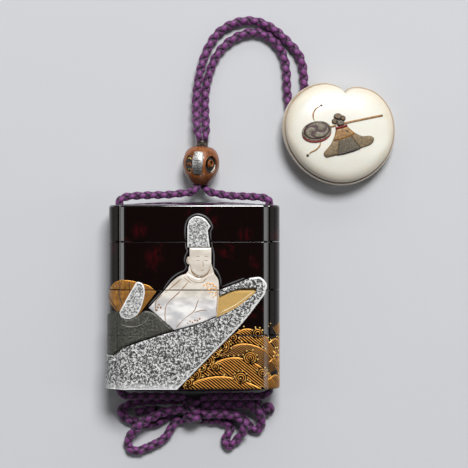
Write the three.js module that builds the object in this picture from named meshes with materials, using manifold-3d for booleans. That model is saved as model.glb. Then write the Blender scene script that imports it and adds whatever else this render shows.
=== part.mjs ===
// A Japanese inro: a lacquered case of four nesting sections with inlays on its front, strung on a
// silk cord with its ojime bead and its netsuke. It lies on its back.
// Millimetres. +X runs to the case's right, +Y to its lid, +Z up out of the picture on its front.
// The origin is the centre of the case's flat back.
import * as THREE from 'three';
import { mergeVertices } from 'three/addons/utils/BufferGeometryUtils.js';
import Module from 'manifold-3d';

const wasm = await Module();
wasm.setup();

// ---- driving dimensions -------------------------------------------------------------------------
const CASE_WIDTH = 60; // the flat front panel, without the cord runners
const CASE_DEPTH = 24;
const CORNER = 2.6;
const RUNNER_OUT = 4.6; // how far a cord runner stands out of the side
const RUNNER_DEPTH = 17.6;
const LID_TOP = 36.9; // the front edge of the lid's top
const BASE_BOTTOM = -37.2;
const DOME = 1.4; // how much the two ends swell past those edges
const JOINTS = [22.1, 2.8, -15.4]; // where the sections meet
const SEAM = 0.2;
const SHELL = 1.2; // wall outside the nesting rim
const RIM_WALL = 1.0;
const RIM_HEIGHT = 4.0;
const FIT = 0.3; // clearance round a nesting rim
const FLOOR = 1.6;
const CHANNEL_X = 30.4;
const CHANNEL_RADIUS = 2.1;
const CHANNEL_SIDES = 10;
const INLAY_GAP = 0.05; // glue line under an inlay

const CORD_RADIUS = 1.9;
const CORD_SIDES = 8;
const CORD_Z = CORD_RADIUS + 0.1; // a cord that lies on the table

const BEAD_CENTRE = new THREE.Vector3(2.6, 53.1, 7.2);
const BEAD_BORE = 1.9;
const BEAD_LEAN = THREE.MathUtils.degToRad(-3.3); // its top lies to the right of its foot
const BEAD_END = 7.8; // from the bead's middle to each of its ends

const NETSUKE_CENTRE = new THREE.Vector3(58.7, 66.1, 1.15);
const NETSUKE_TILT = THREE.MathUtils.degToRad(6);
const NETSUKE_TILT_AZIMUTH = THREE.MathUtils.degToRad(215); // the side that is tipped up
const NETSUKE_SEAM_Z = 6.6;
const NETSUKE_TOP_Z = 12.6;
const TOYS_AT = [-1.0, -0.4]; // where the inlays lie on its front, from its middle

const MID_Z = CASE_DEPTH / 2;
const HALF_WIDTH = CASE_WIDTH / 2;

// ---- materials ----------------------------------------------------------------------------------
function finish(color, roughness, metalness) {
  return new THREE.MeshStandardMaterial({ color, roughness, metalness });
}

const FINISHES = {
  lacquer: [0x120707, 0.18, 0.0],
  pewter: [0x9a9a98, 0.45, 0.7],
  lead: [0x4b4d48, 0.6, 0.5],
  shell: [0xe9e2d4, 0.25, 0.0],
  bead_wood: [0x8a4a1e, 0.35, 0.0],
  gilt: [0x8a6a38, 0.4, 0.8],
  ivory: [0xf4efe0, 0.22, 0.0],
  toy_metal: [0x8d8270, 0.5, 0.1],
  red_lacquer: [0x8f1f22, 0.4, 0.0],
  horn: [0xb98d5a, 0.45, 0.0],
  silk: [0x6b2f74, 0.75, 0.0],
};

const part = new THREE.Group();

function place(name, geometry, slot, parent = part) {
  const mesh = new THREE.Mesh(geometry, finish(...FINISHES[slot]));
  mesh.name = name;
  parent.add(mesh);
  return mesh;
}

// ---- solids -------------------------------------------------------------------------------------
function solidOf(geometry) {
  const bare = geometry.clone();
  bare.deleteAttribute('normal');
  bare.deleteAttribute('uv');
  const merged = mergeVertices(bare, 1e-4);
  return new wasm.Manifold(new wasm.Mesh({
    numProp: 3,
    vertProperties: new Float32Array(merged.attributes.position.array),
    triVerts: new Uint32Array(merged.index.array),
  }));
}

function geometryOf(solid) {
  const mesh = solid.getMesh();
  const geometry = new THREE.BufferGeometry();
  geometry.setAttribute('position', new THREE.BufferAttribute(mesh.vertProperties, 3));
  geometry.setIndex(new THREE.BufferAttribute(mesh.triVerts, 1));
  geometry.computeVertexNormals();
  return geometry;
}

// A closed solid through rings of equal count, each listed anticlockwise as seen from beyond the
// last ring. Each end is closed by a fan to the middle of its ring, or to the point given for it.
function loft(rings, firstTip = null, lastTip = null) {
  const count = rings[0].length;
  const middle = (ring) => ring.reduce((sum, p) => sum.add(p), new THREE.Vector3()).divideScalar(count);
  const points = rings.flat();
  const first = points.push(firstTip ?? middle(rings[0])) - 1;
  const last = points.push(lastTip ?? middle(rings.at(-1))) - 1;
  const faces = [];
  for (let j = 0; j < count; j += 1) {
    const next = (j + 1) % count;
    faces.push(first, next, j);
    for (let i = 0; i + 1 < rings.length; i += 1) {
      const low = i * count;
      const high = low + count;
      faces.push(low + j, low + next, high + next, low + j, high + next, high + j);
    }
    const top = (rings.length - 1) * count;
    faces.push(last, top + j, top + next);
  }
  const geometry = new THREE.BufferGeometry().setFromPoints(points);
  geometry.setIndex(faces);
  return geometry;
}

function box(x0, x1, y0, y1, z0, z1) {
  const geometry = new THREE.BoxGeometry(x1 - x0, y1 - y0, z1 - z0);
  return geometry.translate((x0 + x1) / 2, (y0 + y1) / 2, (z0 + z1) / 2);
}

// ---- the case's cross-section -------------------------------------------------------------------
function arc(x, z, radiusX, radiusZ, from, to, steps) {
  return Array.from({ length: steps + 1 }, (_, i) => {
    const angle = from + ((to - from) * i) / steps;
    return [x + radiusX * Math.cos(angle), z + radiusZ * Math.sin(angle)];
  });
}

// One quarter of the outline, from the runner's outermost point to the middle of the front.
function quarterOutline(offset) {
  const corner = CORNER + offset;
  const quarter = Math.PI / 2;
  return [
    ...arc(HALF_WIDTH + offset, 0, RUNNER_OUT, RUNNER_DEPTH / 2 + offset, 0, quarter, 5),
    ...arc(HALF_WIDTH - CORNER, MID_Z - CORNER, corner, corner, 0, quarter, 4),
  ];
}

function caseOutline(offset) {
  const quarter = quarterOutline(offset);
  const flipped = (sx, sz) => quarter.map(([x, z]) => [sx * x, sz * z]);
  const half = [...quarter, ...flipped(-1, 1).reverse()];
  const back = [...flipped(-1, -1).slice(1), ...flipped(1, -1).reverse().slice(0, -1)];
  return [...half, ...back];
}

// Section points at one height. Anticlockwise as seen from above the lid, which looks along -Y.
function caseRing(y, offset, scale = 1) {
  return caseOutline(offset).reverse().map(([x, z]) => new THREE.Vector3(x * scale, y, MID_Z + z * scale));
}

function roundedRing(y, halfX, halfZ, radius) {
  const quarter = arc(halfX - radius, halfZ - radius, radius, radius, 0, Math.PI / 2, 3);
  const flipped = (sx, sz) => quarter.map(([x, z]) => [sx * x, sz * z]);
  const outline = [...quarter, ...flipped(-1, 1).reverse(), ...flipped(-1, -1), ...flipped(1, -1).reverse()];
  return outline.reverse().map(([x, z]) => new THREE.Vector3(x, y, MID_Z + z));
}

function roundedBlock(y0, y1, inset, rimInset = 0) {
  const halfX = CHANNEL_X - CHANNEL_RADIUS - SHELL - inset;
  const halfZ = MID_Z - SHELL - inset;
  const radius = CORNER - rimInset;
  return solidOf(loft([roundedRing(y0, halfX, halfZ, radius), roundedRing(y1, halfX, halfZ, radius)]));
}

function caseBlock(y0, y1, offset) {
  return solidOf(loft([caseRing(y0, offset), caseRing(y1, offset)]));
}

// A closed end: a small rounded edge, then a low dome. `side` is 1 at the lid and -1 at the base.
function domedBlock(flatY, edgeY, side) {
  const edge = [[-0.5 * side, 0], [-0.15 * side, -0.2], [0, -0.6]];
  const rings = [caseRing(flatY, 0), ...edge.map(([dy, offset]) => caseRing(edgeY + dy, offset))];
  for (const scale of [0.78, 0.5]) {
    rings.push(caseRing(edgeY + side * DOME * (1 - scale * scale), -0.6, scale));
  }
  const crest = new THREE.Vector3(0, edgeY + side * DOME, MID_Z);
  if (side > 0) return solidOf(loft(rings, null, crest));
  return solidOf(loft(rings.reverse(), crest, null));
}

function channels(y0, y1) {
  const bore = (x) => solidOf(new THREE.CylinderGeometry(CHANNEL_RADIUS, CHANNEL_RADIUS, y1 - y0, CHANNEL_SIDES)
    .translate(x, (y0 + y1) / 2, MID_Z));
  return bore(CHANNEL_X).add(bore(-CHANNEL_X));
}

// ---- case sections ------------------------------------------------------------------------------
// Under each joint stands the rim of the lower section. It enters a pocket in the section above.
const POCKET = RIM_HEIGHT + FIT;
const RIM_INSET = FIT;
const ROOM_INSET = FIT + RIM_WALL;
const PAST = 5; // how far a cutting tool runs past the piece it cuts

function makeLid() {
  const bottom = JOINTS[0] + SEAM / 2;
  return domedBlock(bottom, LID_TOP, 1)
    .subtract(roundedBlock(bottom - PAST, bottom + POCKET, 0))
    .subtract(roundedBlock(bottom, LID_TOP - FLOOR, ROOM_INSET, 1))
    .subtract(channels(bottom - PAST, LID_TOP + PAST));
}

function makeTray(top, bottom) {
  return caseBlock(bottom, top, 0)
    .add(roundedBlock(top - 1, top + RIM_HEIGHT, RIM_INSET))
    .subtract(roundedBlock(bottom - PAST, bottom + POCKET, 0))
    .subtract(roundedBlock(bottom + POCKET + FLOOR, top + PAST, ROOM_INSET, 1))
    .subtract(channels(bottom - PAST, top + PAST));
}

function makeLowerTray(top) {
  return domedBlock(top, BASE_BOTTOM, -1)
    .add(roundedBlock(top - 1, top + RIM_HEIGHT, RIM_INSET))
    .subtract(roundedBlock(BASE_BOTTOM + FLOOR, top + PAST, ROOM_INSET, 1))
    .subtract(channels(BASE_BOTTOM - PAST, top + PAST));
}

place('lid', geometryOf(makeLid()), 'lacquer');
place('upper_tray', geometryOf(makeTray(JOINTS[0] - SEAM / 2, JOINTS[1] + SEAM / 2)), 'lacquer');
place('middle_tray', geometryOf(makeTray(JOINTS[1] - SEAM / 2, JOINTS[2] + SEAM / 2)), 'lacquer');
place('lower_tray', geometryOf(makeLowerTray(JOINTS[2] - SEAM / 2)), 'lacquer');

// ---- inlays on the case -------------------------------------------------------------------------
const SPANS = {
  lid: [JOINTS[0] + SEAM / 2, LID_TOP],
  upper: [JOINTS[1] + SEAM / 2, JOINTS[0] - SEAM / 2],
  middle: [JOINTS[2] + SEAM / 2, JOINTS[1] - SEAM / 2],
  lower: [BASE_BOTTOM + 0.3, JOINTS[2] - SEAM / 2],
};
const FRONT_ONLY = 13.5; // an inlay that turns round a side stops just past the runner's crown

// A smooth line through the given points, after the line's own first point.
function curveThrough(shape, points) {
  shape.splineThru(points.map(([x, y]) => new THREE.Vector2(x, y)));
  return shape;
}

function capShape() {
  const shape = new THREE.Shape().moveTo(-2.5, 19.9);
  shape.lineTo(-2.5, 28.2);
  curveThrough(shape, [[-1.6, 30.8], [1.0, 32.3], [4.2, 31.4], [6.7, 28.4]]);
  shape.lineTo(5.6, 26.6);
  shape.lineTo(6.4, 19.9);
  return shape;
}

function headShape() {
  const shape = new THREE.Shape().moveTo(-1.7, 19.7);
  shape.lineTo(-1.7, 14.3);
  shape.absellipse(2.65, 14.3, 4.35, 6.0, Math.PI, 2 * Math.PI, false);
  shape.lineTo(7.0, 19.7);
  return shape;
}

function earShape() {
  return new THREE.Shape().absellipse(-1.9, 14.6, 1.0, 1.6, 0, 2 * Math.PI, false);
}

function robeShape() {
  const shape = new THREE.Shape().moveTo(-2.4, 9.5);
  curveThrough(shape, [[-5.6, 8.4], [-8.4, 6.4], [-11.8, 2.5]]);
  shape.lineTo(-18.0, -4.4);
  shape.lineTo(-7.8, -13.2);
  curveThrough(shape, [[1.5, -10.7], [9.2, -7.6]]);
  shape.lineTo(10.1, 2.6);
  curveThrough(shape, [[9.8, 6.8], [7.8, 9.9]]);
  shape.lineTo(5.2, 8.6);
  curveThrough(shape, [[1.8, 7.6], [-2.4, 9.5]]);
  return shape;
}

// The boat's near side, from the low stern to the prow.
function hullShape() {
  const shape = new THREE.Shape().moveTo(-35.9, -23.4);
  shape.lineTo(-32.4, -23.6);
  curveThrough(shape, [[-28.4, -20.8], [-19.0, -17.2], [-7.8, -13.7], [1.5, -11.1], [9.2, -8.0],
    [17.5, -3.9], [24.4, 1.6]]);
  curveThrough(shape, [[25.0, 2.8], [23.8, 3.9]]);
  shape.lineTo(22.6, 7.7);
  curveThrough(shape, [[26.8, 7.8], [29.3, 5.0], [28.5, 1.2]]);
  curveThrough(shape, [[19.2, -10.7], [6.9, -23.3], [-7.0, -37.4]]);
  shape.lineTo(-37.0, -37.4);
  return shape;
}

// The boat's far gunwale, which shows behind the figure.
function gunwaleShape() {
  const shape = new THREE.Shape().moveTo(24.4, 3.7);
  curveThrough(shape, [[16.5, 2.9], [10.4, 0.4]]);
  shape.lineTo(10.4, 2.8);
  curveThrough(shape, [[16.0, 5.0], [22.8, 7.7]]);
  return shape;
}

function rowerCapShape() {
  const shape = new THREE.Shape().moveTo(-29.7, -5.6);
  shape.lineTo(-24.4, 3.6);
  curveThrough(shape, [[-22.6, 6.0], [-20.4, 5.2], [-19.6, 2.4], [-20.6, -3.0], [-23.0, -7.4],
    [-26.8, -8.8], [-29.7, -5.6]]);
  return shape;
}

function rowerRobeShape() {
  const shape = new THREE.Shape().moveTo(-37.0, -8.4);
  curveThrough(shape, [[-33.0, -6.0], [-29.4, -6.2]]);
  curveThrough(shape, [[-26.8, -9.2], [-22.6, -7.8]]);
  curveThrough(shape, [[-20.0, -5.7], [-16.8, -6.0], [-8.2, -13.2]]);
  curveThrough(shape, [[-19.2, -16.8], [-28.8, -20.4], [-33.0, -24.0]]);
  shape.lineTo(-37.0, -23.0);
  return shape;
}

// Upright prism of a shape over the front. Its top edge is chamfered, or its outline grown.
function prism(shape, top, chamfer, grown = 0) {
  const depth = top - FRONT_ONLY - 2 * chamfer;
  const geometry = new THREE.ExtrudeGeometry(shape, {
    depth,
    curveSegments: 5,
    bevelEnabled: true,
    bevelThickness: chamfer,
    bevelSize: grown > 0 ? 0 : chamfer,
    bevelOffset: grown > 0 ? grown : -chamfer,
    bevelSegments: 1,
  });
  return solidOf(geometry.translate(0, 0, FRONT_ONLY + chamfer));
}

const FIGURES = {
  cap: { shapes: [capShape()], height: 1.2, under: [] },
  head: { shapes: [headShape(), earShape()], height: 1.0, under: ['cap'] },
  hull: { shapes: [hullShape()], height: 1.5, under: [] },
  gunwale: { shapes: [gunwaleShape()], height: 1.5, under: [] },
  prow: { shapes: [hullShape(), gunwaleShape()], height: 1.5, under: [] },
  robe: { shapes: [robeShape()], height: 0.9, under: ['head', 'prow'] },
  rower_cap: { shapes: [rowerCapShape()], height: 1.3, under: [] },
  rower_robe: { shapes: [rowerRobeShape()], height: 0.8, under: ['rower_cap', 'hull', 'robe'] },
};
const CHAMFER = 0.3;
const TALL = CASE_DEPTH + 5; // a cutter's top, clear of every inlay

function figurePrism(figure, top, chamfer, grown) {
  return figure.shapes.map((shape) => prism(shape, top, chamfer, grown)).reduce((sum, solid) => sum.add(solid));
}

// One figure's inlay on one section: let into the skin of the case, and cut back round what lies over it.
function inlay(key, [y0, y1]) {
  const figure = FIGURES[key];
  const skin = caseBlock(y0, y1, figure.height).subtract(caseBlock(y0 - PAST, y1 + PAST, INLAY_GAP));
  const body = figurePrism(figure, CASE_DEPTH + figure.height, CHAMFER, 0).intersect(skin);
  return figure.under.reduce((rest, over) => rest.subtract(figurePrism(FIGURES[over], TALL, 0.1, 0.15)), body);
}

const INLAYS = [
  ['cap_inlay_lid', 'cap', 'lid', 'pewter'],
  ['cap_inlay_upper', 'cap', 'upper', 'pewter'],
  ['head_inlay', 'head', 'upper', 'shell'],
  ['robe_inlay_upper', 'robe', 'upper', 'shell'],
  ['robe_inlay_middle', 'robe', 'middle', 'shell'],
  ['prow_inlay_upper', 'prow', 'upper', 'pewter'],
  ['gunwale_inlay_middle', 'gunwale', 'middle', 'pewter'],
  ['hull_inlay_middle', 'hull', 'middle', 'pewter'],
  ['hull_inlay_lower', 'hull', 'lower', 'pewter'],
  ['rower_cap_inlay_upper', 'rower_cap', 'upper', 'pewter'],
  ['rower_cap_inlay_middle', 'rower_cap', 'middle', 'pewter'],
  ['rower_robe_inlay_middle', 'rower_robe', 'middle', 'lead'],
  ['rower_robe_inlay_lower', 'rower_robe', 'lower', 'lead'],
];
for (const [name, key, span, slot] of INLAYS) {
  place(name, geometryOf(inlay(key, SPANS[span])), slot);
}

// ---- ojime bead ---------------------------------------------------------------------------------
const BEAD_RADIUS = 7.45;
const BEAD_PROFILE = [[3.1, -BEAD_END], [4.3, -6.6], [5.5, -5.0], [6.6, -2.9], [7.25, -0.8], [BEAD_RADIUS, 1.4],
  [6.9, 4.2], [5.7, 6.3], [4.3, 7.4], [3.0, BEAD_END]];
const BEAD_SEGMENTS = 18;
const PLATE_RISE = 0.45; // how far the metal plate stands out of the bead
const COLLAR_SEGMENTS = 12;
const COLLAR_HEIGHT = 2.3;
const COLLAR_RADIUS = 2.5;
// The oval hollows in its side: degrees round the bead from its front, half-width, half-height and depth.
const RECESSES = [[-46, 2.3, 3.6, 1.0], [37, 3.1, 3.8, 1.2]];
const RECESS_Y = 0.4;

function ringOf(profile, segments) {
  const points = [...profile, profile[0]].map(([radius, y]) => new THREE.Vector2(radius, y));
  return solidOf(new THREE.LatheGeometry(points, segments));
}

function beadBody(offset) {
  const outside = BEAD_PROFILE.map(([radius, y]) => [radius + offset, y]);
  return ringOf([[BEAD_BORE, -BEAD_END], ...outside, [BEAD_BORE, BEAD_END]], BEAD_SEGMENTS);
}

function recess([degrees, ...half]) {
  const hollow = new THREE.SphereGeometry(1, 10, 6).scale(...half);
  return solidOf(hollow.translate(0, RECESS_Y, BEAD_RADIUS).rotateY(THREE.MathUtils.degToRad(degrees)));
}

const bead = new THREE.Group();
bead.position.copy(BEAD_CENTRE);
bead.rotation.z = BEAD_LEAN;
part.add(bead);
const underTable = solidOf(box(-10, 10, -10, 10, -20, -BEAD_CENTRE.z));
const beadSolid = RECESSES.reduce((body, hollow) => body.subtract(recess(hollow)),
  beadBody(0).subtract(underTable));
place('ojime_bead', geometryOf(beadSolid), 'bead_wood', bead);
const collarFoot = BEAD_END + INLAY_GAP;
const collar = ringOf([[BEAD_BORE, collarFoot], [COLLAR_RADIUS, collarFoot],
  [COLLAR_RADIUS, collarFoot + COLLAR_HEIGHT], [BEAD_BORE, collarFoot + COLLAR_HEIGHT]], COLLAR_SEGMENTS);
place('ojime_collar', geometryOf(collar), 'gilt', bead);
const plateOutline = solidOf(box(-3.3, 0.8, -3.9, 5.5, 2, 9));
const plate = plateOutline.intersect(beadBody(PLATE_RISE)).subtract(beadBody(INLAY_GAP));
place('ojime_plate', geometryOf(plate), 'pewter', bead);

// ---- cord routes --------------------------------------------------------------------------------
// Each stretch: its node, its number of straight steps and the points that it runs through.
const COLLAR_TOP = BEAD_CENTRE.y + collarFoot + COLLAR_HEIGHT;
const BEAD_FOOT = BEAD_CENTRE.y - BEAD_END;
const KNOT = new THREE.Vector3(-0.6, -46.4, 4.6);
const KNOT_SIZE = new THREE.Vector3(7.8, 11.2, 8.6);
const KNOT_LEFT = KNOT.x - KNOT_SIZE.x / 2 - 0.35;
const KNOT_RIGHT = KNOT.x + KNOT_SIZE.x / 2 + 0.35;
const CHANNEL_TOP = 37.4;
const CHANNEL_FOOT = -37.6;
const TAIL_KNOB = new THREE.Vector3(30.2, -46.4, 2.8);
const TAIL_KNOB_RADIUS = 2.7;

const ARCHES = [
  ['cord_arch_outer', 12, [[1.7, COLLAR_TOP + 0.55, 8.6], [1.2, COLLAR_TOP + 4, 8.1], [0.7, 74, 5.2],
    [0.7, 82, 3.8], [2.1, 91.2, 3.6], [5.0, 100.7, 2.6], [9.9, 108.1, CORD_Z],
    [17.3, 112.2, CORD_Z], [24.7, 112.7, CORD_Z], [31.7, 109.8, CORD_Z], [38.3, 104.1, CORD_Z],
    [42.8, 98.7, CORD_Z], [44.6, 92.5, CORD_Z], [44.9, 87, CORD_Z], [46.4, 78.6, 3.3]]],
  ['cord_arch_inner', 12, [[4.6, COLLAR_TOP + 0.4, 5.9], [4.6, COLLAR_TOP + 4, 5.4], [4.3, 74, 3.0],
    [4.2, 82, CORD_Z], [5.8, 90.5, CORD_Z], [9.1, 98.7, CORD_Z], [14.1, 104.2, CORD_Z],
    [20.6, 107.5, CORD_Z], [25.6, 107.9, CORD_Z], [30.1, 106.2, CORD_Z], [34.2, 102.4, CORD_Z],
    [36.6, 97.7, CORD_Z], [37.6, 92.1, CORD_Z], [37.9, 84.6, CORD_Z], [38.6, 78.6, CORD_Z],
    [41.4, 71.6, 3.3]]],
];
const CASE_CORDS = [
  ['cord_left_top', 8, [[0.9, BEAD_FOOT - 0.5, 8.3], [0.8, 43.8, 8.3], [-1.6, 42.3, 8.1],
    [-5.5, 41.8, 8.0], [-10, 41.3, 8.3], [-18, 41.0, 9.2], [-24.2, 40.7, 10.6], [-28, 40.2, 11.7],
    [-CHANNEL_X, 38.9, MID_Z], [-CHANNEL_X, CHANNEL_TOP + 0.3, MID_Z]]],
  ['cord_right_top', 8, [[4.3, BEAD_FOOT - 0.5, 6.2], [4.4, 43.8, 6.2], [6.5, 42.3, 6.4],
    [9.5, 41.7, 6.8], [14, 40.9, 7.6], [20, 40.6, 9.0], [25, 40.3, 10.6], [28.2, 39.9, 11.7],
    [CHANNEL_X, 38.8, MID_Z], [CHANNEL_X, CHANNEL_TOP + 0.3, MID_Z]]],
  ['cord_left_channel', 4, [[-CHANNEL_X, CHANNEL_TOP, MID_Z], [-CHANNEL_X, CHANNEL_FOOT, MID_Z]]],
  ['cord_right_channel', 4, [[CHANNEL_X, CHANNEL_TOP, MID_Z], [CHANNEL_X, CHANNEL_FOOT, MID_Z]]],
  ['cord_left_base', 7, [[-CHANNEL_X, CHANNEL_FOOT - 0.3, MID_Z], [-CHANNEL_X, -38.8, MID_Z],
    [-28.2, -40.4, 11.6], [-23, -40.8, 10.4], [-16, -40.9, 9.3], [-10, -41, 8.6], [KNOT_LEFT, -41.4, 8.3]]],
  ['cord_right_base', 7, [[CHANNEL_X, CHANNEL_FOOT - 0.3, MID_Z], [CHANNEL_X, -38.8, MID_Z],
    [28.2, -40.4, 11.6], [23, -40.8, 10.4], [16, -40.9, 9.3], [9, -41, 8.6], [KNOT_RIGHT, -41.4, 8.3]]],
];
const BOW = [
  ['bow_left_narrow', 13, [[KNOT_LEFT, -42.9, 2.1], [-10, -43.1, CORD_Z], [-17, -43.2, CORD_Z],
    [-23.3, -43.7, CORD_Z], [-27.6, -45.1, CORD_Z], [-30.4, -47.8, CORD_Z], [-28.8, -50.2, CORD_Z],
    [-25.2, -51.9, CORD_Z], [-21.5, -52.8, CORD_Z], [-17.8, -52.9, CORD_Z], [-14.2, -51.7, CORD_Z],
    [-11.4, -49.4, CORD_Z], [-8.6, -47.5, CORD_Z], [KNOT_LEFT, -46.9, 2.1]]],
  ['bow_left_open', 16, [[KNOT_LEFT, -46.5, 6.2], [-9, -46.8, 6.2], [-12.3, -47.6, 6.1],
    [-15.8, -49, 6.1], [-18.6, -50.4, 6.1], [-21.2, -52.1, 6], [-23.6, -54.2, 5.5], [-25.8, -56.5, 4],
    [-27.1, -58.9, 2.7], [-27.4, -61.3, CORD_Z], [-26.1, -63.4, CORD_Z], [-23.4, -63.9, CORD_Z],
    [-20.2, -62.8, CORD_Z], [-16.9, -61.3, CORD_Z], [-13.4, -59.4, CORD_Z], [-11, -56.9, CORD_Z],
    [-9.8, -54.7, CORD_Z], [-8.5, -52.9, CORD_Z], [-6.9, -51.5, CORD_Z], [KNOT_LEFT - 0.2, -51, CORD_Z]]],
  ['bow_left_tail', 3, [[-15.6, -47.1, CORD_Z], [-18.6, -47.2, CORD_Z], [-21.4, -47.5, CORD_Z],
    [-24, -48.1, CORD_Z]]],
  ['bow_right_loop', 14, [[KNOT_RIGHT, -44.7, 6.2], [9, -44.6, 6.1], [15, -44.4, 6], [20, -44.6, 5.9],
    [23.4, -45.2, 5.7], [25.8, -47, 5.3], [27.2, -49.8, 4.2], [27.4, -52.6, 2.8], [26.3, -54.9, CORD_Z],
    [24.1, -55.2, CORD_Z], [22, -53.2, CORD_Z], [19.8, -50.8, CORD_Z], [16.5, -49, CORD_Z],
    [12, -47.7, CORD_Z], [7.5, -47, CORD_Z], [KNOT_RIGHT, -46.9, 2.1]]],
  ['bow_right_fold', 15, [[KNOT_RIGHT, -51, CORD_Z], [7.8, -51.4, CORD_Z], [12.2, -52.1, CORD_Z],
    [14.4, -53.7, CORD_Z], [14.2, -55.8, CORD_Z], [13.1, -58, CORD_Z], [12.3, -60.3, CORD_Z],
    [13.7, -61.8, CORD_Z], [15.9, -60.7, CORD_Z], [17.8, -58.7, 2.6], [19.4, -56.5, 4], [20.3, -54.1, 5.6],
    [19.9, -51.6, 6.1], [17.7, -49.7, 6.1], [14.3, -48.8, 6.1], [9.5, -48.5, 6.1], [KNOT_RIGHT, -48.6, 6.2]]],
  ['bow_right_tail', 4, [[KNOT_RIGHT, -42.9, 2.1], [10, -42.5, CORD_Z], [17, -42.4, CORD_Z],
    [22.8, -42.8, CORD_Z], [26.8, -44.4, 2.3]]],
];

// A round tube of a few flat sides along a route.
function tube(route, steps) {
  const side = (i) => (2 * Math.PI * (i + 0.5)) / CORD_SIDES;
  const section = new THREE.Shape(Array.from({ length: CORD_SIDES }, (_, i) => (
    new THREE.Vector2(CORD_RADIUS * Math.cos(side(i)), CORD_RADIUS * Math.sin(side(i))))));
  const path = new THREE.CatmullRomCurve3(route.map((point) => new THREE.Vector3(...point)));
  return new THREE.ExtrudeGeometry(section, { steps, extrudePath: path, bevelEnabled: false });
}

for (const [name, steps, route] of [...ARCHES, ...CASE_CORDS, ...BOW]) {
  place(name, tube(route, steps), 'silk');
}

// The lump of cord where the bow is tied, with its edges taken off.
function bowKnot() {
  const bevel = 1.3;
  const [halfY, halfZ] = [KNOT_SIZE.y / 2 - bevel, KNOT_SIZE.z / 2 - bevel];
  const shape = new THREE.Shape().moveTo(-halfZ, -halfY).lineTo(halfZ, -halfY).lineTo(halfZ, halfY)
    .lineTo(-halfZ, halfY);
  const depth = KNOT_SIZE.x - 2 * bevel;
  const block = new THREE.ExtrudeGeometry(shape, {
    depth, bevelEnabled: true, bevelThickness: bevel, bevelSize: bevel, bevelSegments: 2,
  });
  return block.translate(0, 0, -depth / 2).rotateY(Math.PI / 2).translate(KNOT.x, KNOT.y, KNOT.z);
}

place('bow_knot', bowKnot(), 'silk');
const knob = new THREE.SphereGeometry(TAIL_KNOB_RADIUS, 10, 6);
place('bow_tail_knob', knob.translate(TAIL_KNOB.x, TAIL_KNOB.y, TAIL_KNOB.z), 'silk');

// ---- netsuke ------------------------------------------------------------------------------------
const netsuke = new THREE.Group();
netsuke.position.copy(NETSUKE_CENTRE);
netsuke.quaternion.setFromAxisAngle(
  new THREE.Vector3(Math.sin(NETSUKE_TILT_AZIMUTH), -Math.cos(NETSUKE_TILT_AZIMUTH), 0),
  NETSUKE_TILT,
);
part.add(netsuke);
netsuke.updateMatrixWorld(true);

// The peach-shaped outline, from the cleft anticlockwise back to the cleft, about its middle.
const PEACH = new THREE.CatmullRomCurve3([[2.0, 17.0], [0.2, 19.1], [-7.2, 20.8], [-15.6, 17.6], [-21.6, 10.6],
  [-23.4, 2.2], [-21.3, -6.8], [-14.3, -15.8], [-4.9, -20.7], [4.7, -21.0], [14.0, -16.7], [20.8, -8.7],
  [23.1, 0.9], [21.4, 9.8], [15.6, 16.9], [8.4, 19.3], [4.0, 18.7], [2.0, 17.0]]
  .map(([x, y]) => new THREE.Vector3(x, y, 0)));
const PEACH_STEPS = 36;
const PEACH_RADII = [22.4, 19.2]; // the oval that it softens to towards the crown
// Each half as rings of [share of the outline, height].
const BACK_RINGS = [[0.42, 0], [0.72, 0.6], [0.91, 1.8], [0.985, 3.2], [1, 4.6],
  [0.978, NETSUKE_SEAM_Z - SEAM / 2]];
const FRONT_RINGS = [[0.957, NETSUKE_SEAM_Z + SEAM / 2], [0.957, 7.6], [0.93, 9.2], [0.845, 10.9],
  [0.66, 12.0], [0.36, 12.5]];

function peachRing(scale, z) {
  const cleft = THREE.MathUtils.smoothstep(scale, 0.72, 1);
  return PEACH.getSpacedPoints(PEACH_STEPS).slice(0, -1).map((edge) => {
    const turn = Math.atan2(edge.y, edge.x);
    const oval = new THREE.Vector3(PEACH_RADII[0] * Math.cos(turn), PEACH_RADII[1] * Math.sin(turn), 0);
    return oval.lerp(edge, cleft).multiplyScalar(scale).setZ(z);
  });
}

function netsukeFront(lift) {
  const rings = FRONT_RINGS.map(([scale, z]) => peachRing(scale, z + lift));
  return solidOf(loft(rings, null, new THREE.Vector3(0, 0, NETSUKE_TOP_Z + lift)));
}

// The hole in the back that a cord runs into, along the cord's last stretch.
function cordHole(route) {
  const [from, to] = route.slice(-2).map((point) => netsuke.worldToLocal(new THREE.Vector3(...point)));
  const along = to.clone().sub(from).normalize();
  const start = from.clone().addScaledVector(along, -1);
  const end = to.clone().addScaledVector(along, 1);
  const bore = new THREE.CylinderGeometry(CORD_RADIUS + 0.5, CORD_RADIUS + 0.5, start.distanceTo(end), 8);
  bore.applyQuaternion(new THREE.Quaternion().setFromUnitVectors(new THREE.Vector3(0, 1, 0), along));
  const middle = start.add(end).multiplyScalar(0.5);
  return solidOf(bore.translate(middle.x, middle.y, middle.z));
}

const backBody = solidOf(loft(BACK_RINGS.map(([scale, z]) => peachRing(scale, z))));
const netsukeBack = ARCHES.reduce((body, [, , route]) => body.subtract(cordHole(route)), backBody);
place('netsuke_back', geometryOf(netsukeBack), 'ivory', netsuke);
place('netsuke_front', geometryOf(netsukeFront(0)), 'ivory', netsuke);

// Inlays on the netsuke's front: a rattle drum on its stick, and a cloth pouch tied at the neck.
const DRUM = { x: -9.2, y: 0.5, halfX: 6.0, halfY: 3.9, tilt: 0.17 };

function oval(x, y, halfX, halfY, tilt = 0) {
  return new THREE.Shape().absellipse(x, y, halfX, halfY, 0, 2 * Math.PI, false, tilt);
}

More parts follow.
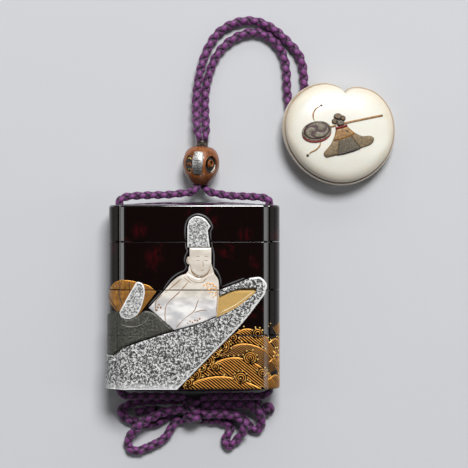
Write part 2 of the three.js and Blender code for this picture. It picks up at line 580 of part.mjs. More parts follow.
function bar([x0, y0], [x1, y1], width) {
  const along = new THREE.Vector2(x1 - x0, y1 - y0).normalize().multiplyScalar(width / 2);
  return new THREE.Shape().moveTo(x0 + along.y, y0 - along.x).lineTo(x1 + along.y, y1 - along.x)
    .lineTo(x1 - along.y, y1 + along.x).lineTo(x0 - along.y, y0 + along.x);
}

function pouchShape() {
  const shape = new THREE.Shape().moveTo(-1.4, 1.2);
  curveThrough(shape, [[-2.0, -1.6], [-3.6, -5.0], [-6.4, -8.8], [-5.4, -10.2], [-3.4, -9.9], [-0.6, -9.2]]);
  shape.lineTo(8.4, -6.6);
  curveThrough(shape, [[13.4, -4.4], [14.2, -2.4], [12.6, -1.4], [9.4, -1.5], [6.2, -0.1], [3.2, 2.4]]);
  return shape;
}

// `smooth` is the number of straight steps along each curve. `under` names the pieces that one lies under.
const TOYS = {
  drum: {
    slot: 'toy_metal',
    shapes: [oval(DRUM.x, DRUM.y, DRUM.halfX, DRUM.halfY, DRUM.tilt)],
    height: 0.8,
    smooth: 6,
    under: [],
  },
  drum_rim: {
    slot: 'red_lacquer',
    shapes: [oval(DRUM.x - 0.15, DRUM.y - 0.85, DRUM.halfX, DRUM.halfY, DRUM.tilt)],
    height: 0.5,
    smooth: 6,
    under: ['drum'],
  },
  pouch_band: {
    slot: 'red_lacquer',
    shapes: [bar([-1.5, 1.5], [3.2, 2.8], 0.9)],
    height: 0.9,
    smooth: 1,
    under: [],
  },
  pouch_knot: {
    slot: 'toy_metal',
    shapes: [
      oval(0.4, 3.7, 1.6, 1.3),
      oval(-1.9, 4.4, 1.2, 1.1),
      oval(-0.6, 6.4, 1.7, 1.3),
      oval(1.5, 5.7, 1.1, 1.1),
    ],
    height: 1.0,
    smooth: 4,
    under: ['pouch_band'],
  },
  pouch: {
    slot: 'bead_wood',
    shapes: [pouchShape()],
    height: 0.7,
    smooth: 2,
    under: ['pouch_band'],
  },
  stick: {
    slot: 'horn',
    shapes: [bar([1.8, 3.6], [17.7, 7.1], 0.8)],
    height: 0.5,
    smooth: 1,
    under: ['pouch_knot', 'pouch_band'],
  },
};

// Upright prisms of an inlay's shapes, tall enough to run out of both faces of the skin that they cut.
function toyPrism(toy, grown) {
  const upright = (shape) => {
    const geometry = new THREE.ExtrudeGeometry(shape, {
      depth: NETSUKE_TOP_Z,
      curveSegments: toy.smooth,
      bevelThickness: 0.1,
      bevelSize: 0,
      bevelOffset: grown,
      bevelSegments: 1,
    });
    return solidOf(geometry.translate(...TOYS_AT, NETSUKE_TOP_Z / 2));
  };
  return toy.shapes.map(upright).reduce((sum, solid) => sum.add(solid));
}

for (const [key, toy] of Object.entries(TOYS)) {
  const skin = netsukeFront(toy.height).subtract(netsukeFront(INLAY_GAP));
  const whole = toyPrism(toy, 0).intersect(skin);
  const body = toy.under.reduce((rest, over) => rest.subtract(toyPrism(TOYS[over], 0.15)), whole);
  place(`netsuke_${key}`, geometryOf(body), toy.slot, netsuke);
}

export default part;
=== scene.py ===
# The looks of a lacquered inro with its silk cord, its ojime bead and its netsuke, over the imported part.
# Tables and shapes are in millimetres in the part's own frame; meshes are made in metres.
import math
import random

import bmesh
import bpy
import numpy as np
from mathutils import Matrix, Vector, kdtree, noise
from mathutils.geometry import delaunay_2d_cdt


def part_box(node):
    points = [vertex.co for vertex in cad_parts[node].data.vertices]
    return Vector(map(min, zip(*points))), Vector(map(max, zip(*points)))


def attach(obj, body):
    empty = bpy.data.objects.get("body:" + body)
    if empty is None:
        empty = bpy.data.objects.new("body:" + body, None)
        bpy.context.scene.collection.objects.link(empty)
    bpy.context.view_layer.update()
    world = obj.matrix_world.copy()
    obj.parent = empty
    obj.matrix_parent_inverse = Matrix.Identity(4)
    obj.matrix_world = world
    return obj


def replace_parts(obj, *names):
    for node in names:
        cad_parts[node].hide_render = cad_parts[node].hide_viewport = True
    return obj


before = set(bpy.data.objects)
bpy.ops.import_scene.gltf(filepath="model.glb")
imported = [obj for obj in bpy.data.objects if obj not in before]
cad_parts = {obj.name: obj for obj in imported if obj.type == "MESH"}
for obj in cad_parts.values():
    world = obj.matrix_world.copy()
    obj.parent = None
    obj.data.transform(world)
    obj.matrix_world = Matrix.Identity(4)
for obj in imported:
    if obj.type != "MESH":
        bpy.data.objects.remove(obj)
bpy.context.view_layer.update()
scene = bpy.context.scene
random.seed(7)

# ---- driving sizes ----------------------------------------------------------------------------------
MM = 0.001


def corners(node):
    """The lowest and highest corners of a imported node, in millimetres."""
    return [tuple(round(value / MM, 3) for value in corner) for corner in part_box(node)]


def middle_of(node):
    low, high = corners(node)
    return Vector([round((a + b) / 2, 3) for a, b in zip(low, high)])


CASE_RIGHT, CASE_END, CASE_DEPTH = corners("lid")[1]
MID_Z = CASE_DEPTH / 2
DOME = 1.4  # of the case's two ends
LID_TOP = round(CASE_END - DOME, 3)
BASE_BOTTOM = round(corners("lower_tray")[0][1] + DOME, 3)
RUNNER_OUT = 4.6  # how far a cord runner stands out from the flat front panel
RUNNER_HALF = 8.8
HALF_WIDTH = round(CASE_RIGHT - RUNNER_OUT, 3)
CORNER = 2.6
FLAT = HALF_WIDTH - CORNER  # half of the front's flat
HALF_SEAM = 0.1
JOINTS = [round(corners(node)[0][1] - HALF_SEAM, 3) for node in ("lid", "upper_tray", "middle_tray")]
EDGE = 0.1  # rounding of the case's edges at its joints
SHELL = 1.2
RIM_WALL = 1.0
RIM_HEIGHT = 4.0
FIT = 0.3
FLOOR = 1.6
CHANNEL_X = 30.4
CHANNEL_RADIUS = 2.1

CORD_RADIUS = 1.9
CORD_Z = 2.0
CHANNEL_MOUTH = 37.65

BEAD = Vector((2.6, 53.1, 7.2))
BEAD_RADIUS = 7.45
BEAD_END = 7.8
BEAD_BORE = 1.9
BEAD_LEAN = math.radians(-3.3)  # its top lies to the right of its foot
COLLAR_HEIGHT = 2.3
COLLAR_TOP = BEAD.y + BEAD_END + 0.05 + COLLAR_HEIGHT

KNOT = middle_of("bow_knot")
KNOT_LEFT = KNOT.x - 3.4  # where the bow's strands end, inside the knot
KNOT_RIGHT = KNOT.x + 3.4
TAIL_KNOB = middle_of("bow_tail_knob")

NETSUKE = Vector((58.7, 66.1, 1.15))
NETSUKE_TILT = math.radians(6)
NETSUKE_TILT_AZIMUTH = math.radians(215)
NETSUKE_SEAM = 6.6
NETSUKE_TOP = 12.6
TOYS_X, TOYS_Y = -1.0, -0.4  # where the toys lie on the netsuke, from its middle
IVORY_SPOT = (78.2, 73.4, 10)  # a small dark spot near its right edge


# ---- camera -----------------------------------------------------------------------------------------
def hang_camera():
    camera = bpy.data.objects.new("camera", bpy.data.cameras.new("camera"))
    camera.data.sensor_width = 36
    camera.data.lens = 153.8
    camera.data.clip_start = 0.05
    camera.data.clip_end = 10
    camera.location = Vector((16.1, 25.2, 824)) * MM
    scene.collection.objects.link(camera)
    scene.camera = camera


hang_camera()
scene.view_settings.view_transform = "Standard"


# ---- materials --------------------------------------------------------------------------------------
class Shade:
    """A value socket that takes part in plain arithmetic among one material's nodes."""

    def __init__(self, finish, socket):
        self.finish = finish
        self.socket = socket

    def math(self, operation, first, second):
        node = self.finish.node("ShaderNodeMath", {"operation": operation}, {0: first, 1: second})
        return Shade(self.finish, node.outputs[0])

    def __add__(self, other):
        return self.math("ADD", self, other)

    def __radd__(self, other):
        return self.math("ADD", other, self)

    def __sub__(self, other):
        return self.math("SUBTRACT", self, other)

    def __rsub__(self, other):
        return self.math("SUBTRACT", other, self)

    def __mul__(self, other):
        return self.math("MULTIPLY", self, other)

    def __rmul__(self, other):
        return self.math("MULTIPLY", other, self)

    def __pow__(self, other):
        return self.math("POWER", self, other)

    def between(self, low, high):
        """0 below `low`, 1 above `high`, smooth in between."""
        node = self.finish.node("ShaderNodeMapRange", {"interpolation_type": "SMOOTHSTEP"},
                                {"Value": self, "From Min": low, "From Max": high})
        return Shade(self.finish, node.outputs["Result"])


class Finish:
    """One material and the few ways in which its nodes are added."""

    def __init__(self, name, **fixed):
        self.material = bpy.data.materials.new(name)
        self.material.use_nodes = True
        self.tree = self.material.node_tree
        self.surface = self.tree.nodes["Principled BSDF"]
        for key, value in fixed.items():
            self.set(key.replace("_", " ").title().replace("Ior", "IOR"), value)

    def connect(self, socket, value):
        if isinstance(value, Shade):
            value = value.socket
        if isinstance(value, bpy.types.NodeSocket):
            self.tree.links.new(value, socket)
        else:
            socket.default_value = value

    def node(self, kind, settings, sockets):
        node = self.tree.nodes.new(kind)
        for key, value in settings.items():
            if key == "stops":
                self.place_stops(node.color_ramp, value)
            else:
                setattr(node, key, value)
        for key, value in sockets.items():
            self.connect(node.inputs[key], value)
        return node

    @staticmethod
    def place_stops(ramp, stops):
        while len(ramp.elements) < len(stops):
            ramp.elements.new(0.5)
        for element, (position, color) in zip(ramp.elements, stops):
            element.position = position
            element.color = (*color, 1)

    def set(self, socket, value):
        if isinstance(value, tuple):
            value = (*value, 1)
        self.connect(self.surface.inputs[socket], value)

    def place(self):
        return self.node("ShaderNodeTexCoord", {}, {}).outputs["Object"]

    def strand_place(self):
        return self.node("ShaderNodeTexCoord", {}, {}).outputs["UV"]

    def stretched(self, place, scale, turn=(0, 0, 0)):
        sockets = {"Vector": place, "Scale": scale, "Rotation": turn}
        return self.node("ShaderNodeMapping", {}, sockets).outputs[0]

    def cloud(self, size, detail=2.0, place=None):
        """Soft noise whose blotches are about `size` millimetres across."""
        sockets = {"Vector": place or self.place(), "Scale": 1 / (size * MM), "Detail": detail}
        return Shade(self, self.node("ShaderNodeTexNoise", {}, sockets).outputs["Fac"])

    def bands(self, size, place, wobble=0.0, direction="X"):
        """Lines about `size` millimetres apart."""
        sockets = {"Vector": place, "Scale": 0.314 / (size * MM), "Distortion": wobble, "Detail": 1.0}
        node = self.node("ShaderNodeTexWave", {"bands_direction": direction}, sockets)
        return Shade(self, node.outputs["Fac"])

    def axis(self, name):
        split = self.node("ShaderNodeSeparateXYZ", {}, {"Vector": self.place()})
        return Shade(self, split.outputs[name])

    def beyond(self, name, low, high):
        """0 where the part's `name` axis is below `low` millimetres, 1 above `high`, smooth in between."""
        return self.axis(name).between(low * MM, high * MM)

    def near(self, x, y, z, reach):
        """1 at a place in the part, in millimetres, fading to 0 at `reach` from it."""
        sockets = {0: self.place(), 1: Vector((x, y, z)) * MM}
        away = self.node("ShaderNodeVectorMath", {"operation": "DISTANCE"}, sockets)
        return 1 - Shade(self, away.outputs["Value"]).between(0, reach * MM)

    def mark(self, name):
        """A number kept at each point of the mesh."""
        return Shade(self, self.node("ShaderNodeAttribute", {"attribute_name": name}, {}).outputs["Fac"])

    def mix(self, first, second, amount):
        first, second = [(*c, 1) if isinstance(c, tuple) else c for c in (first, second)]
        node = self.node("ShaderNodeMix", {"data_type": "RGBA"}, {0: amount, 6: first, 7: second})
        return node.outputs[2]

    def relief(self, height, depth):
        """Bumps `depth` millimetres high from a 0 to 1 height."""
        bump = self.node("ShaderNodeBump", {}, {"Height": height, "Distance": depth * MM})
        self.set("Normal", bump.outputs[0])


# Where red shows through the black lacquer: x, y, z and how far the blush reaches.
RED_BLUSHES = ((-21.5, 27, 24, 4.5), (-16, 16, 24, 5.5), (20.5, 25, 24, 4), (34, 25, 17, 6), (-34, 19, 17, 6),
               (8, 30, 24, 3.5))


def lacquer():
    """Black lacquer with red blushes, and a glossier coat on the corners and the lid's top edge."""
    finish = Finish("lacquer", roughness=0.16, specular_ior_level=0.16, coat_roughness=0.05, coat_ior=1.95)
    aside = finish.axis("X")
    aside = aside.math("ABSOLUTE", aside, 0.0)
    panel_edge = aside.between((FLAT - 0.4) * MM, (FLAT + 0.4) * MM)
    corner = panel_edge * (1 - aside.between((HALF_WIDTH - 0.2) * MM, (HALF_WIDTH + 0.2) * MM))
    top_edge = finish.beyond("Y", LID_TOP - 1.1, LID_TOP - 0.5)
    finish.set("Coat Weight", corner + top_edge * (1 - corner))
    blotch = finish.cloud(7.0, 3.0).between(0.60, 0.78)
    for x, y, z, reach in RED_BLUSHES:
        blotch = blotch + finish.near(x, y, z, reach)
    streak = finish.cloud(1.6, 2.0, finish.stretched(finish.place(), (1, 0.35, 1))).between(0.3, 0.75)
    finish.set("Base Color", finish.mix((0.0046, 0.0020, 0.0018), (0.044, 0.0022, 0.0040), blotch * streak))
    finish.set("Roughness", 0.12 + finish.cloud(2.2) * 0.1)
    finish.relief(finish.cloud(9.0, 1.0), 0.03)
    return finish.material


def lacquer_lip():
    """The polished lip of lacquer round the inlaid figure, with a painted soft grey highlight along its
    crown, broken into patches.
    """
    finish = Finish("lacquer_lip", roughness=0.4, coat_weight=0.2, coat_roughness=0.2)
    wear = finish.cloud(5.0, 3.0).between(0.2, 0.8)
    # painted highlight along the lip's crown, broken into patches by the wear cloud
    pale = finish.mark("crown") * (0.25 + wear * 0.75)
    finish.set("Base Color", finish.mix((0.004, 0.002, 0.002), (0.13, 0.13, 0.14), pale))
    finish.set("Roughness", 0.32 + wear * 0.15)
    return finish.material


def hammered(name, sizes, dark, bright, low, high, highlight_width):
    """Pewter with a chased, speckled face, lighter towards the case's bottom, and a plain bright rim that is
    a painted highlight.
    """
    finish = Finish(name, metallic=0.15, roughness=0.4)
    coarse, fine = sizes
    speck = (finish.cloud(coarse, 2.0) * 0.5 + finish.cloud(fine, 2.0) * 0.5).between(low, high)
    worn = finish.cloud(5.0, 2.0).between(0.25, 0.75)
    # painted highlight: a near-white rim along the inlay's outline
    rim = 1 - finish.mark("edge").between(highlight_width * 0.6, highlight_width)
    face = finish.mix(dark, bright, speck * (0.75 + worn * 0.25))
    # lighter towards the case's bottom
    polished = 1 - finish.beyond("Y", BASE_BOTTOM + 0.2, BASE_BOTTOM + 3.7)
    face = finish.mix(face, (0.74, 0.74, 0.73), polished * 0.6)
    finish.set("Base Color", finish.mix(face, (0.86, 0.86, 0.85), rim * 0.95))
    finish.set("Roughness", 0.55 - speck * 0.2)
    finish.relief(speck * (1 - rim) + rim, 0.14)
    return finish.material


def lead():
    """Dull lead, mottled and finely scratched aslant."""
    finish = Finish("lead", metallic=0.55, roughness=0.45)
    mottle = finish.cloud(0.8, 4.0)
    slant = finish.stretched(finish.place(), (1, 4, 1), (0, 0, 0.7))
    scratch = finish.cloud(0.5, 2.0, slant).between(0.55, 0.75)
    base = finish.mix((0.030, 0.030, 0.025), (0.105, 0.104, 0.086), mottle.between(0.3, 0.7))
    finish.set("Base Color", finish.mix(base, (0.17, 0.17, 0.145), scratch * 0.35))
    finish.set("Roughness", 0.34 + mottle * 0.25)
    finish.relief(finish.cloud(0.9, 4.0), 0.16)
    return finish.material


def pearl():
    """Mother-of-pearl, warm above the middle joint and cool and silvery below it."""
    finish = Finish("mother_of_pearl", roughness=0.22, coat_weight=0.5, coat_roughness=0.06)
    cool = 1 - finish.beyond("Y", JOINTS[1] - 6.8, JOINTS[1] + 0.6)
    slant = finish.stretched(finish.place(), (1, 1.9, 1), (0, 0, 0.75))
    sheen = finish.cloud(8.0, 2.0, slant).between(0.36, 0.64)
    veil = finish.cloud(2.4, 3.0, slant).between(0.3, 0.7)
    warm = finish.mix((0.60, 0.535, 0.45), (0.78, 0.72, 0.63), sheen)
    blue = finish.mix((0.50, 0.51, 0.54), (0.93, 0.92, 0.91), sheen)
    base = finish.mix(warm, blue, cool * 0.85)
    finish.set("Base Color", finish.mix(base, (0.72, 0.64, 0.60), veil * 0.22))
    finish.relief(finish.cloud(3.5, 2.0), 0.03)
    return finish.material


def gold(name, bright, shade, worn):
    """Sprinkled gold, worn to a darker tone in patches."""
    finish = Finish(name, metallic=0.55, roughness=0.34)
    wear = finish.cloud(1.6, 3.0).between(0.3, 0.75)
    finish.set("Base Color", finish.mix(bright, shade, wear * worn))
    finish.set("Roughness", 0.3 + wear * 0.2)
    finish.relief(finish.cloud(0.35, 2.0), 0.02)
    return finish.material


def carved_wood():
    """The bead's wood, its grain along the cord, with painted shade at its foot and in its carved hollows."""
    finish = Finish("carved_wood", roughness=0.34, coat_weight=0.3, coat_roughness=0.15)
    grain = finish.cloud(1.0, 4.0, finish.stretched(finish.place(), (1, 0.18, 1)))
    # painted shade towards the bead's foot
    low = 1 - finish.beyond("Y", BEAD.y - 6.9, BEAD.y - 2.6)
    base = finish.mix((0.30, 0.095, 0.020), (0.13, 0.036, 0.009), grain.between(0.35, 0.7))
    # painted shade in the carved hollows, darkest towards their middles
    hollow = finish.mark("hollow").between(0.05, 0.5)
    base = finish.mix(base, (0.055, 0.016, 0.006), low * 0.75)
    finish.set("Base Color", finish.mix(base, (0.006, 0.004, 0.003), hollow))
    finish.set("Roughness", 0.28 + grain * 0.2)
    finish.relief(grain, 0.03)
    return finish.material


def ivory():
    """Polished ivory with crossing growth lines, darker and yellower lower down and towards its edge, grimy
    in its seam.
    """
    finish = Finish("ivory", roughness=0.26, coat_weight=0.35, coat_roughness=0.12, subsurface_weight=0.1,
                    subsurface_scale=2 * MM)
    place = finish.place()
    across = finish.bands(0.8, finish.stretched(place, (1, 1, 1), (0, 0, 0.5)), 1.2)
    back = finish.bands(0.8, finish.stretched(place, (1, 1, 1), (0, 0, -0.5)), 1.2)
    # darker and yellower lower down on the netsuke
    lower_down = 1 - finish.beyond("Z", 4.5, 11.0)
    blotch = finish.cloud(6.0, 2.0).between(0.5, 0.8)
    base = finish.mix((0.79, 0.77, 0.69), (0.75, 0.72, 0.61), across * back * 0.6)
    base = finish.mix(base, (0.74, 0.68, 0.53), blotch * 0.35 + finish.near(*IVORY_SPOT, 1.6))
    base = finish.mix(base, (0.66, 0.54, 0.37), lower_down * 0.75)
    # darker and yellower towards the outline
    base = finish.mix(base, (0.70, 0.60, 0.44), finish.mark("outward").between(0.78, 1.0) * 0.7)
    finish.set("Base Color", finish.mix(base, (0.26, 0.155, 0.07), finish.mark("seam")))
    finish.set("Roughness", 0.22 + blotch * 0.08)
    finish.relief(across * back, 0.01)
    return finish.material


def toned(name, bright, dark, metal, rough, size=1.2):
    """A small inlay's finish: two tones in soft blotches of about `size` millimetres, finely tooled."""
    finish = Finish(name, metallic=metal, roughness=rough)
    blotch = finish.cloud(size, 3.0).between(0.3, 0.7)
    finish.set("Base Color", finish.mix(bright, dark, blotch))
    finish.set("Roughness", rough + blotch * 0.15)
    finish.relief(finish.cloud(size / 3, 2.0), 0.04)
    return finish.material


def engraved_plate():
    """The bead's silver plate, with a painted highlight above and painted shade towards its foot."""
    finish = Finish("engraved_plate", metallic=0.5, roughness=0.35)
    # painted light: a painted highlight towards the top, painted shade towards the foot
    height = finish.beyond("Y", BEAD.y - 3.1, BEAD.y + 4.4)
    mottle = finish.cloud(0.9, 3.0).between(0.3, 0.7)
    dull = finish.mix((0.07, 0.068, 0.065), (0.22, 0.215, 0.21), mottle)
    finish.set("Base Color", finish.mix(dull, (0.80, 0.79, 0.77), height * (0.7 + mottle * 0.3)))
    finish.set("Roughness", 0.3 + mottle * 0.15)
    finish.relief(finish.cloud(0.4, 2.0), 0.03)
    return finish.material


def silk():
    """Silk strands of fine threads, with a painted highlight where they lie on top and painted shade where
    they cross under.
    """
    finish = Finish("silk", roughness=0.4, sheen_weight=0.2, sheen_roughness=0.4)
    place = finish.strand_place()
    threads = Shade(finish, finish.node("ShaderNodeTexNoise", {"noise_dimensions": "2D"}, {
        "Vector": finish.stretched(place, (26, 1.6, 1)), "Scale": 1.0, "Detail": 2.0}).outputs["Fac"])
    # the crown mark carries painted light: painted shade where a strand crosses under, painted highlight
    # where it lies on top
    top = finish.mark("crown")
    base = finish.mix((0.007, 0.0015, 0.009), (0.150, 0.025, 0.146), top.between(0.3, 0.95))
    # painted highlights on the threads that lie on top
    finish.set("Base Color", finish.mix(base, (0.40, 0.115, 0.37), threads.between(0.48, 0.72) * top * 0.75))
    finish.set("Roughness", 0.3 + threads * 0.3)
    finish.relief(threads, 0.1)
    return finish.material


LACQUER = lacquer()
LIP = lacquer_lip()
PEWTER_HULL = hammered("chased_pewter", (0.95, 0.48), (0.03, 0.03, 0.03), (0.88, 0.88, 0.87), 0.44, 0.60, 0.8)
PEWTER_CAP = hammered("fine_pewter", (0.8, 0.45), (0.10, 0.10, 0.10), (0.86, 0.86, 0.85), 0.40, 0.60, 0.6)
LEAD = lead()
WORN_LEAD = toned("worn_lead", (0.26, 0.26, 0.22), (0.13, 0.13, 0.11), 0.3, 0.4)
PEARL = pearl()
GOLD_LINE = gold("gold_line", (0.88, 0.42, 0.075), (0.56, 0.23, 0.035), 0.6)
GOLD_SHADE = gold("gold_shade", (0.34, 0.16, 0.035), (0.20, 0.08, 0.015), 0.7)
GOLD_DOT = gold("gold_dot", (0.92, 0.66, 0.22), (0.72, 0.42, 0.10), 0.3)
GILT_RAIL = gold("gilt_rail", (0.95, 0.80, 0.52), (0.80, 0.55, 0.25), 0.5)
GOLD_FLAT = gold("gold_ground", (0.82, 0.54, 0.19), (0.52, 0.29, 0.07), 0.7)
GOLD_FAN = gold("gold_fan", (0.42, 0.19, 0.035), (0.23, 0.09, 0.014), 0.9)
BROWN_LINE = toned("brown_line", (0.34, 0.18, 0.06), (0.22, 0.105, 0.03), 0.0, 0.4)
DARK_LINE = toned("dark_line", (0.03, 0.018, 0.012), (0.015, 0.01, 0.008), 0.0, 0.4)
WOOD = carved_wood()
IVORY = ivory()
PLATE = engraved_plate()
COLLAR = toned("collar_metal", (0.16, 0.13, 0.11), (0.06, 0.045, 0.04), 0.8, 0.24)
TOY_METAL = toned("toy_metal", (0.23, 0.20, 0.145), (0.11, 0.092, 0.066), 0.15, 0.45, 0.8)
KNOT_METAL = toned("knot_metal", (0.15, 0.125, 0.09), (0.05, 0.042, 0.033), 0.2, 0.4, 0.6)
RED_LACQUER = toned("red_lacquer", (0.22, 0.008, 0.006), (0.13, 0.005, 0.004), 0.0, 0.5)
MAROON = toned("maroon_lacquer", (0.075, 0.026, 0.030), (0.042, 0.016, 0.018), 0.0, 0.35)
POUCH = toned("pouch_lacquer", (0.32, 0.17, 0.05), (0.17, 0.09, 0.035), 0.2, 0.4, 0.9)
POUCH_FOOT = toned("pouch_foot", (0.26, 0.17, 0.08), (0.12, 0.095, 0.058), 0.15, 0.45, 0.9)
POUCH_SHADE = toned("pouch_shade", (0.15, 0.125, 0.085), (0.045, 0.038, 0.027), 0.1, 0.5, 0.5)
HORN = toned("horn", (0.40, 0.22, 0.08), (0.26, 0.13, 0.045), 0.0, 0.5)
SILK = silk()


# ---- making meshes ----------------------------------------------------------------------------------
def make_piece(name, points, faces, finish, slot, sharp=None, marks=None):
    """A mesh piece from points in millimetres, with its faces turned outwards."""
    mesh = bpy.data.meshes.new(name)
    mesh.from_pydata([(x * MM, y * MM, z * MM) for x, y, z in points], [], faces)
    shell = bmesh.new()
    shell.from_mesh(mesh)
    bmesh.ops.recalc_face_normals(shell, faces=shell.faces)
    shell.to_mesh(mesh)
    shell.free()
    mesh.shade_smooth()
    if sharp:
        mesh.set_sharp_from_angle(angle=math.radians(sharp))
    for key, values in (marks or {}).items():
        mesh.attributes.new(key, "FLOAT", "POINT").data.foreach_set("value", values)
    mesh.materials.append(finish)
    piece = bpy.data.objects.new(name, mesh)
    scene.collection.objects.link(piece)
    if slot:
        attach(piece, "root")
    return piece


def loft(rings, tips=(None, None)):
    """A closed skin through rings of equal count, each end closed by a fan to its tip or its middle."""
    count = len(rings[0])
    points = [Vector(p) for ring in rings for p in ring]
    ends = [tip or sum((Vector(p) for p in ring), Vector()) / count
            for ring, tip in zip((rings[0], rings[-1]), tips)]
    first = len(points)
    points += ends
    last_ring = first - count
    faces = []
    for j in range(count):
        after = (j + 1) % count
        faces.append((first, after, j))
        faces.append((first + 1, last_ring + j, last_ring + after))
        for low in range(0, last_ring, count):
            faces.append((low + j, low + after, low + count + after, low + count + j))
    return points, faces


def join(parts):
    """Several (points, faces) pairs as one."""
    points, faces = [], []
    for more_points, more_faces in parts:
        start = len(points)
        points += list(more_points)
        faces += [tuple(start + i for i in face) for face in more_faces]
    return points, faces


def cut(body, parts):
    """Takes the closed shapes in `parts` out of a piece."""
    tool = make_piece("tool", *join(parts), LACQUER, None)
    change = body.modifiers.new("cut", "BOOLEAN")
    change.operation = "DIFFERENCE"
    change.solver = "EXACT"
    change.object = tool
    result = bpy.data.meshes.new_from_object(body.evaluated_get(bpy.context.evaluated_depsgraph_get()))
    body.modifiers.clear()
    body.data = result
    bpy.data.objects.remove(tool)


def curve(points, steps):
    """A smooth centripetal curve through the points, with `steps` straight pieces from each to the next."""
    points = [Vector(p) for p in points]
    points = [2 * points[0] - points[1], *points, 2 * points[-1] - points[-2]]
    smooth = []
    for a, b, c, d in zip(points, points[1:], points[2:], points[3:]):
        spans = [max((q - p).length, 1e-6) ** 0.5 for p, q in ((a, b), (b, c), (c, d))]
        start = ((b - a) / spans[0] - (c - a) / (spans[0] + spans[1]) + (c - b) / spans[1]) * spans[1]
        end = ((c - b) / spans[1] - (d - b) / (spans[1] + spans[2]) + (d - c) / spans[2]) * spans[1]
        for i in range(steps):
            t = i / steps
            smooth.append(b + start * t + (3 * (c - b) - 2 * start - end) * t ** 2
                          + (2 * (b - c) + start + end) * t ** 3)
    return [*smooth, points[-2]]


def evenly(points, step):
    """The same line with its points about `step` apart."""
    line = np.array([tuple(p) for p in points], dtype=float)
    along = np.concatenate([[0], np.cumsum(np.linalg.norm(np.diff(line, axis=0), axis=1))])
    count = max(2, round(along[-1] / step) + 1)
    at = np.linspace(0, along[-1], count)
    return np.stack([np.interp(at, along, line[:, i]) for i in range(line.shape[1])], axis=1)


# ---- cords ------------------------------------------------------------------------------------------
BEAD_FOOT = BEAD.y - BEAD_END
ARCHES = {
    "cord_arch_outer": [
        (2.2, COLLAR_TOP + 0.1, 8.4), (1.2, COLLAR_TOP + 4, 8.1), (0.7, 74, 5.2), (0.7, 82, 3.8),
        (2.1, 91.2, 3.6), (5.0, 100.7, 2.6), (9.9, 108.1, CORD_Z), (17.3, 112.2, CORD_Z),
        (24.7, 112.7, CORD_Z), (31.7, 109.8, CORD_Z), (38.3, 104.1, CORD_Z), (42.8, 98.7, CORD_Z),
        (44.6, 92.5, CORD_Z), (44.9, 87, CORD_Z), (46.4, 78.6, 3.3)],
    "cord_arch_inner": [
        (4.2, COLLAR_TOP + 0.1, 6.1), (4.6, COLLAR_TOP + 4, 5.4), (4.3, 74, 3.0), (4.2, 82, CORD_Z),
        (5.8, 90.5, CORD_Z), (9.1, 98.7, CORD_Z), (14.1, 104.2, CORD_Z), (20.6, 107.5, CORD_Z),
        (25.6, 107.9, CORD_Z), (30.1, 106.2, CORD_Z), (34.2, 102.4, CORD_Z), (36.6, 97.7, CORD_Z),
        (37.6, 92.1, CORD_Z), (37.9, 84.6, CORD_Z), (38.6, 78.6, CORD_Z), (41.4, 71.6, 3.3)],
}
LEFT_TOP = [
    (1.1, BEAD_FOOT - 0.1, 8.3), (0.8, 43.8, 8.3), (-1.6, 42.3, 8.1), (-5.5, 41.8, 8.0), (-10, 41.3, 8.3),
    (-18, 41.0, 9.2), (-24.2, 40.7, 10.6), (-28, 40.2, 11.7), (-CHANNEL_X, 38.9, MID_Z)]
RIGHT_TOP = [
    (3.9, BEAD_FOOT - 0.1, 6.2), (4.4, 43.8, 6.2), (6.5, 42.3, 6.4), (9.5, 41.7, 6.8), (14, 40.9, 7.6),
    (20, 40.6, 9.0), (25, 40.3, 10.6), (28.2, 39.9, 11.7), (CHANNEL_X, 38.8, MID_Z)]
LEFT_BASE = [
    (-CHANNEL_X, -38.8, MID_Z), (-28.2, -40.4, 11.6), (-23, -40.8, 10.4), (-16, -40.9, 9.3), (-10, -41, 8.6),
    (KNOT_LEFT, -41.4, 8.3)]
RIGHT_BASE = [
    (CHANNEL_X, -38.8, MID_Z), (28.2, -40.4, 11.6), (23, -40.8, 10.4), (16, -40.9, 9.3), (9, -41, 8.6),
    (KNOT_RIGHT, -41.4, 8.3)]
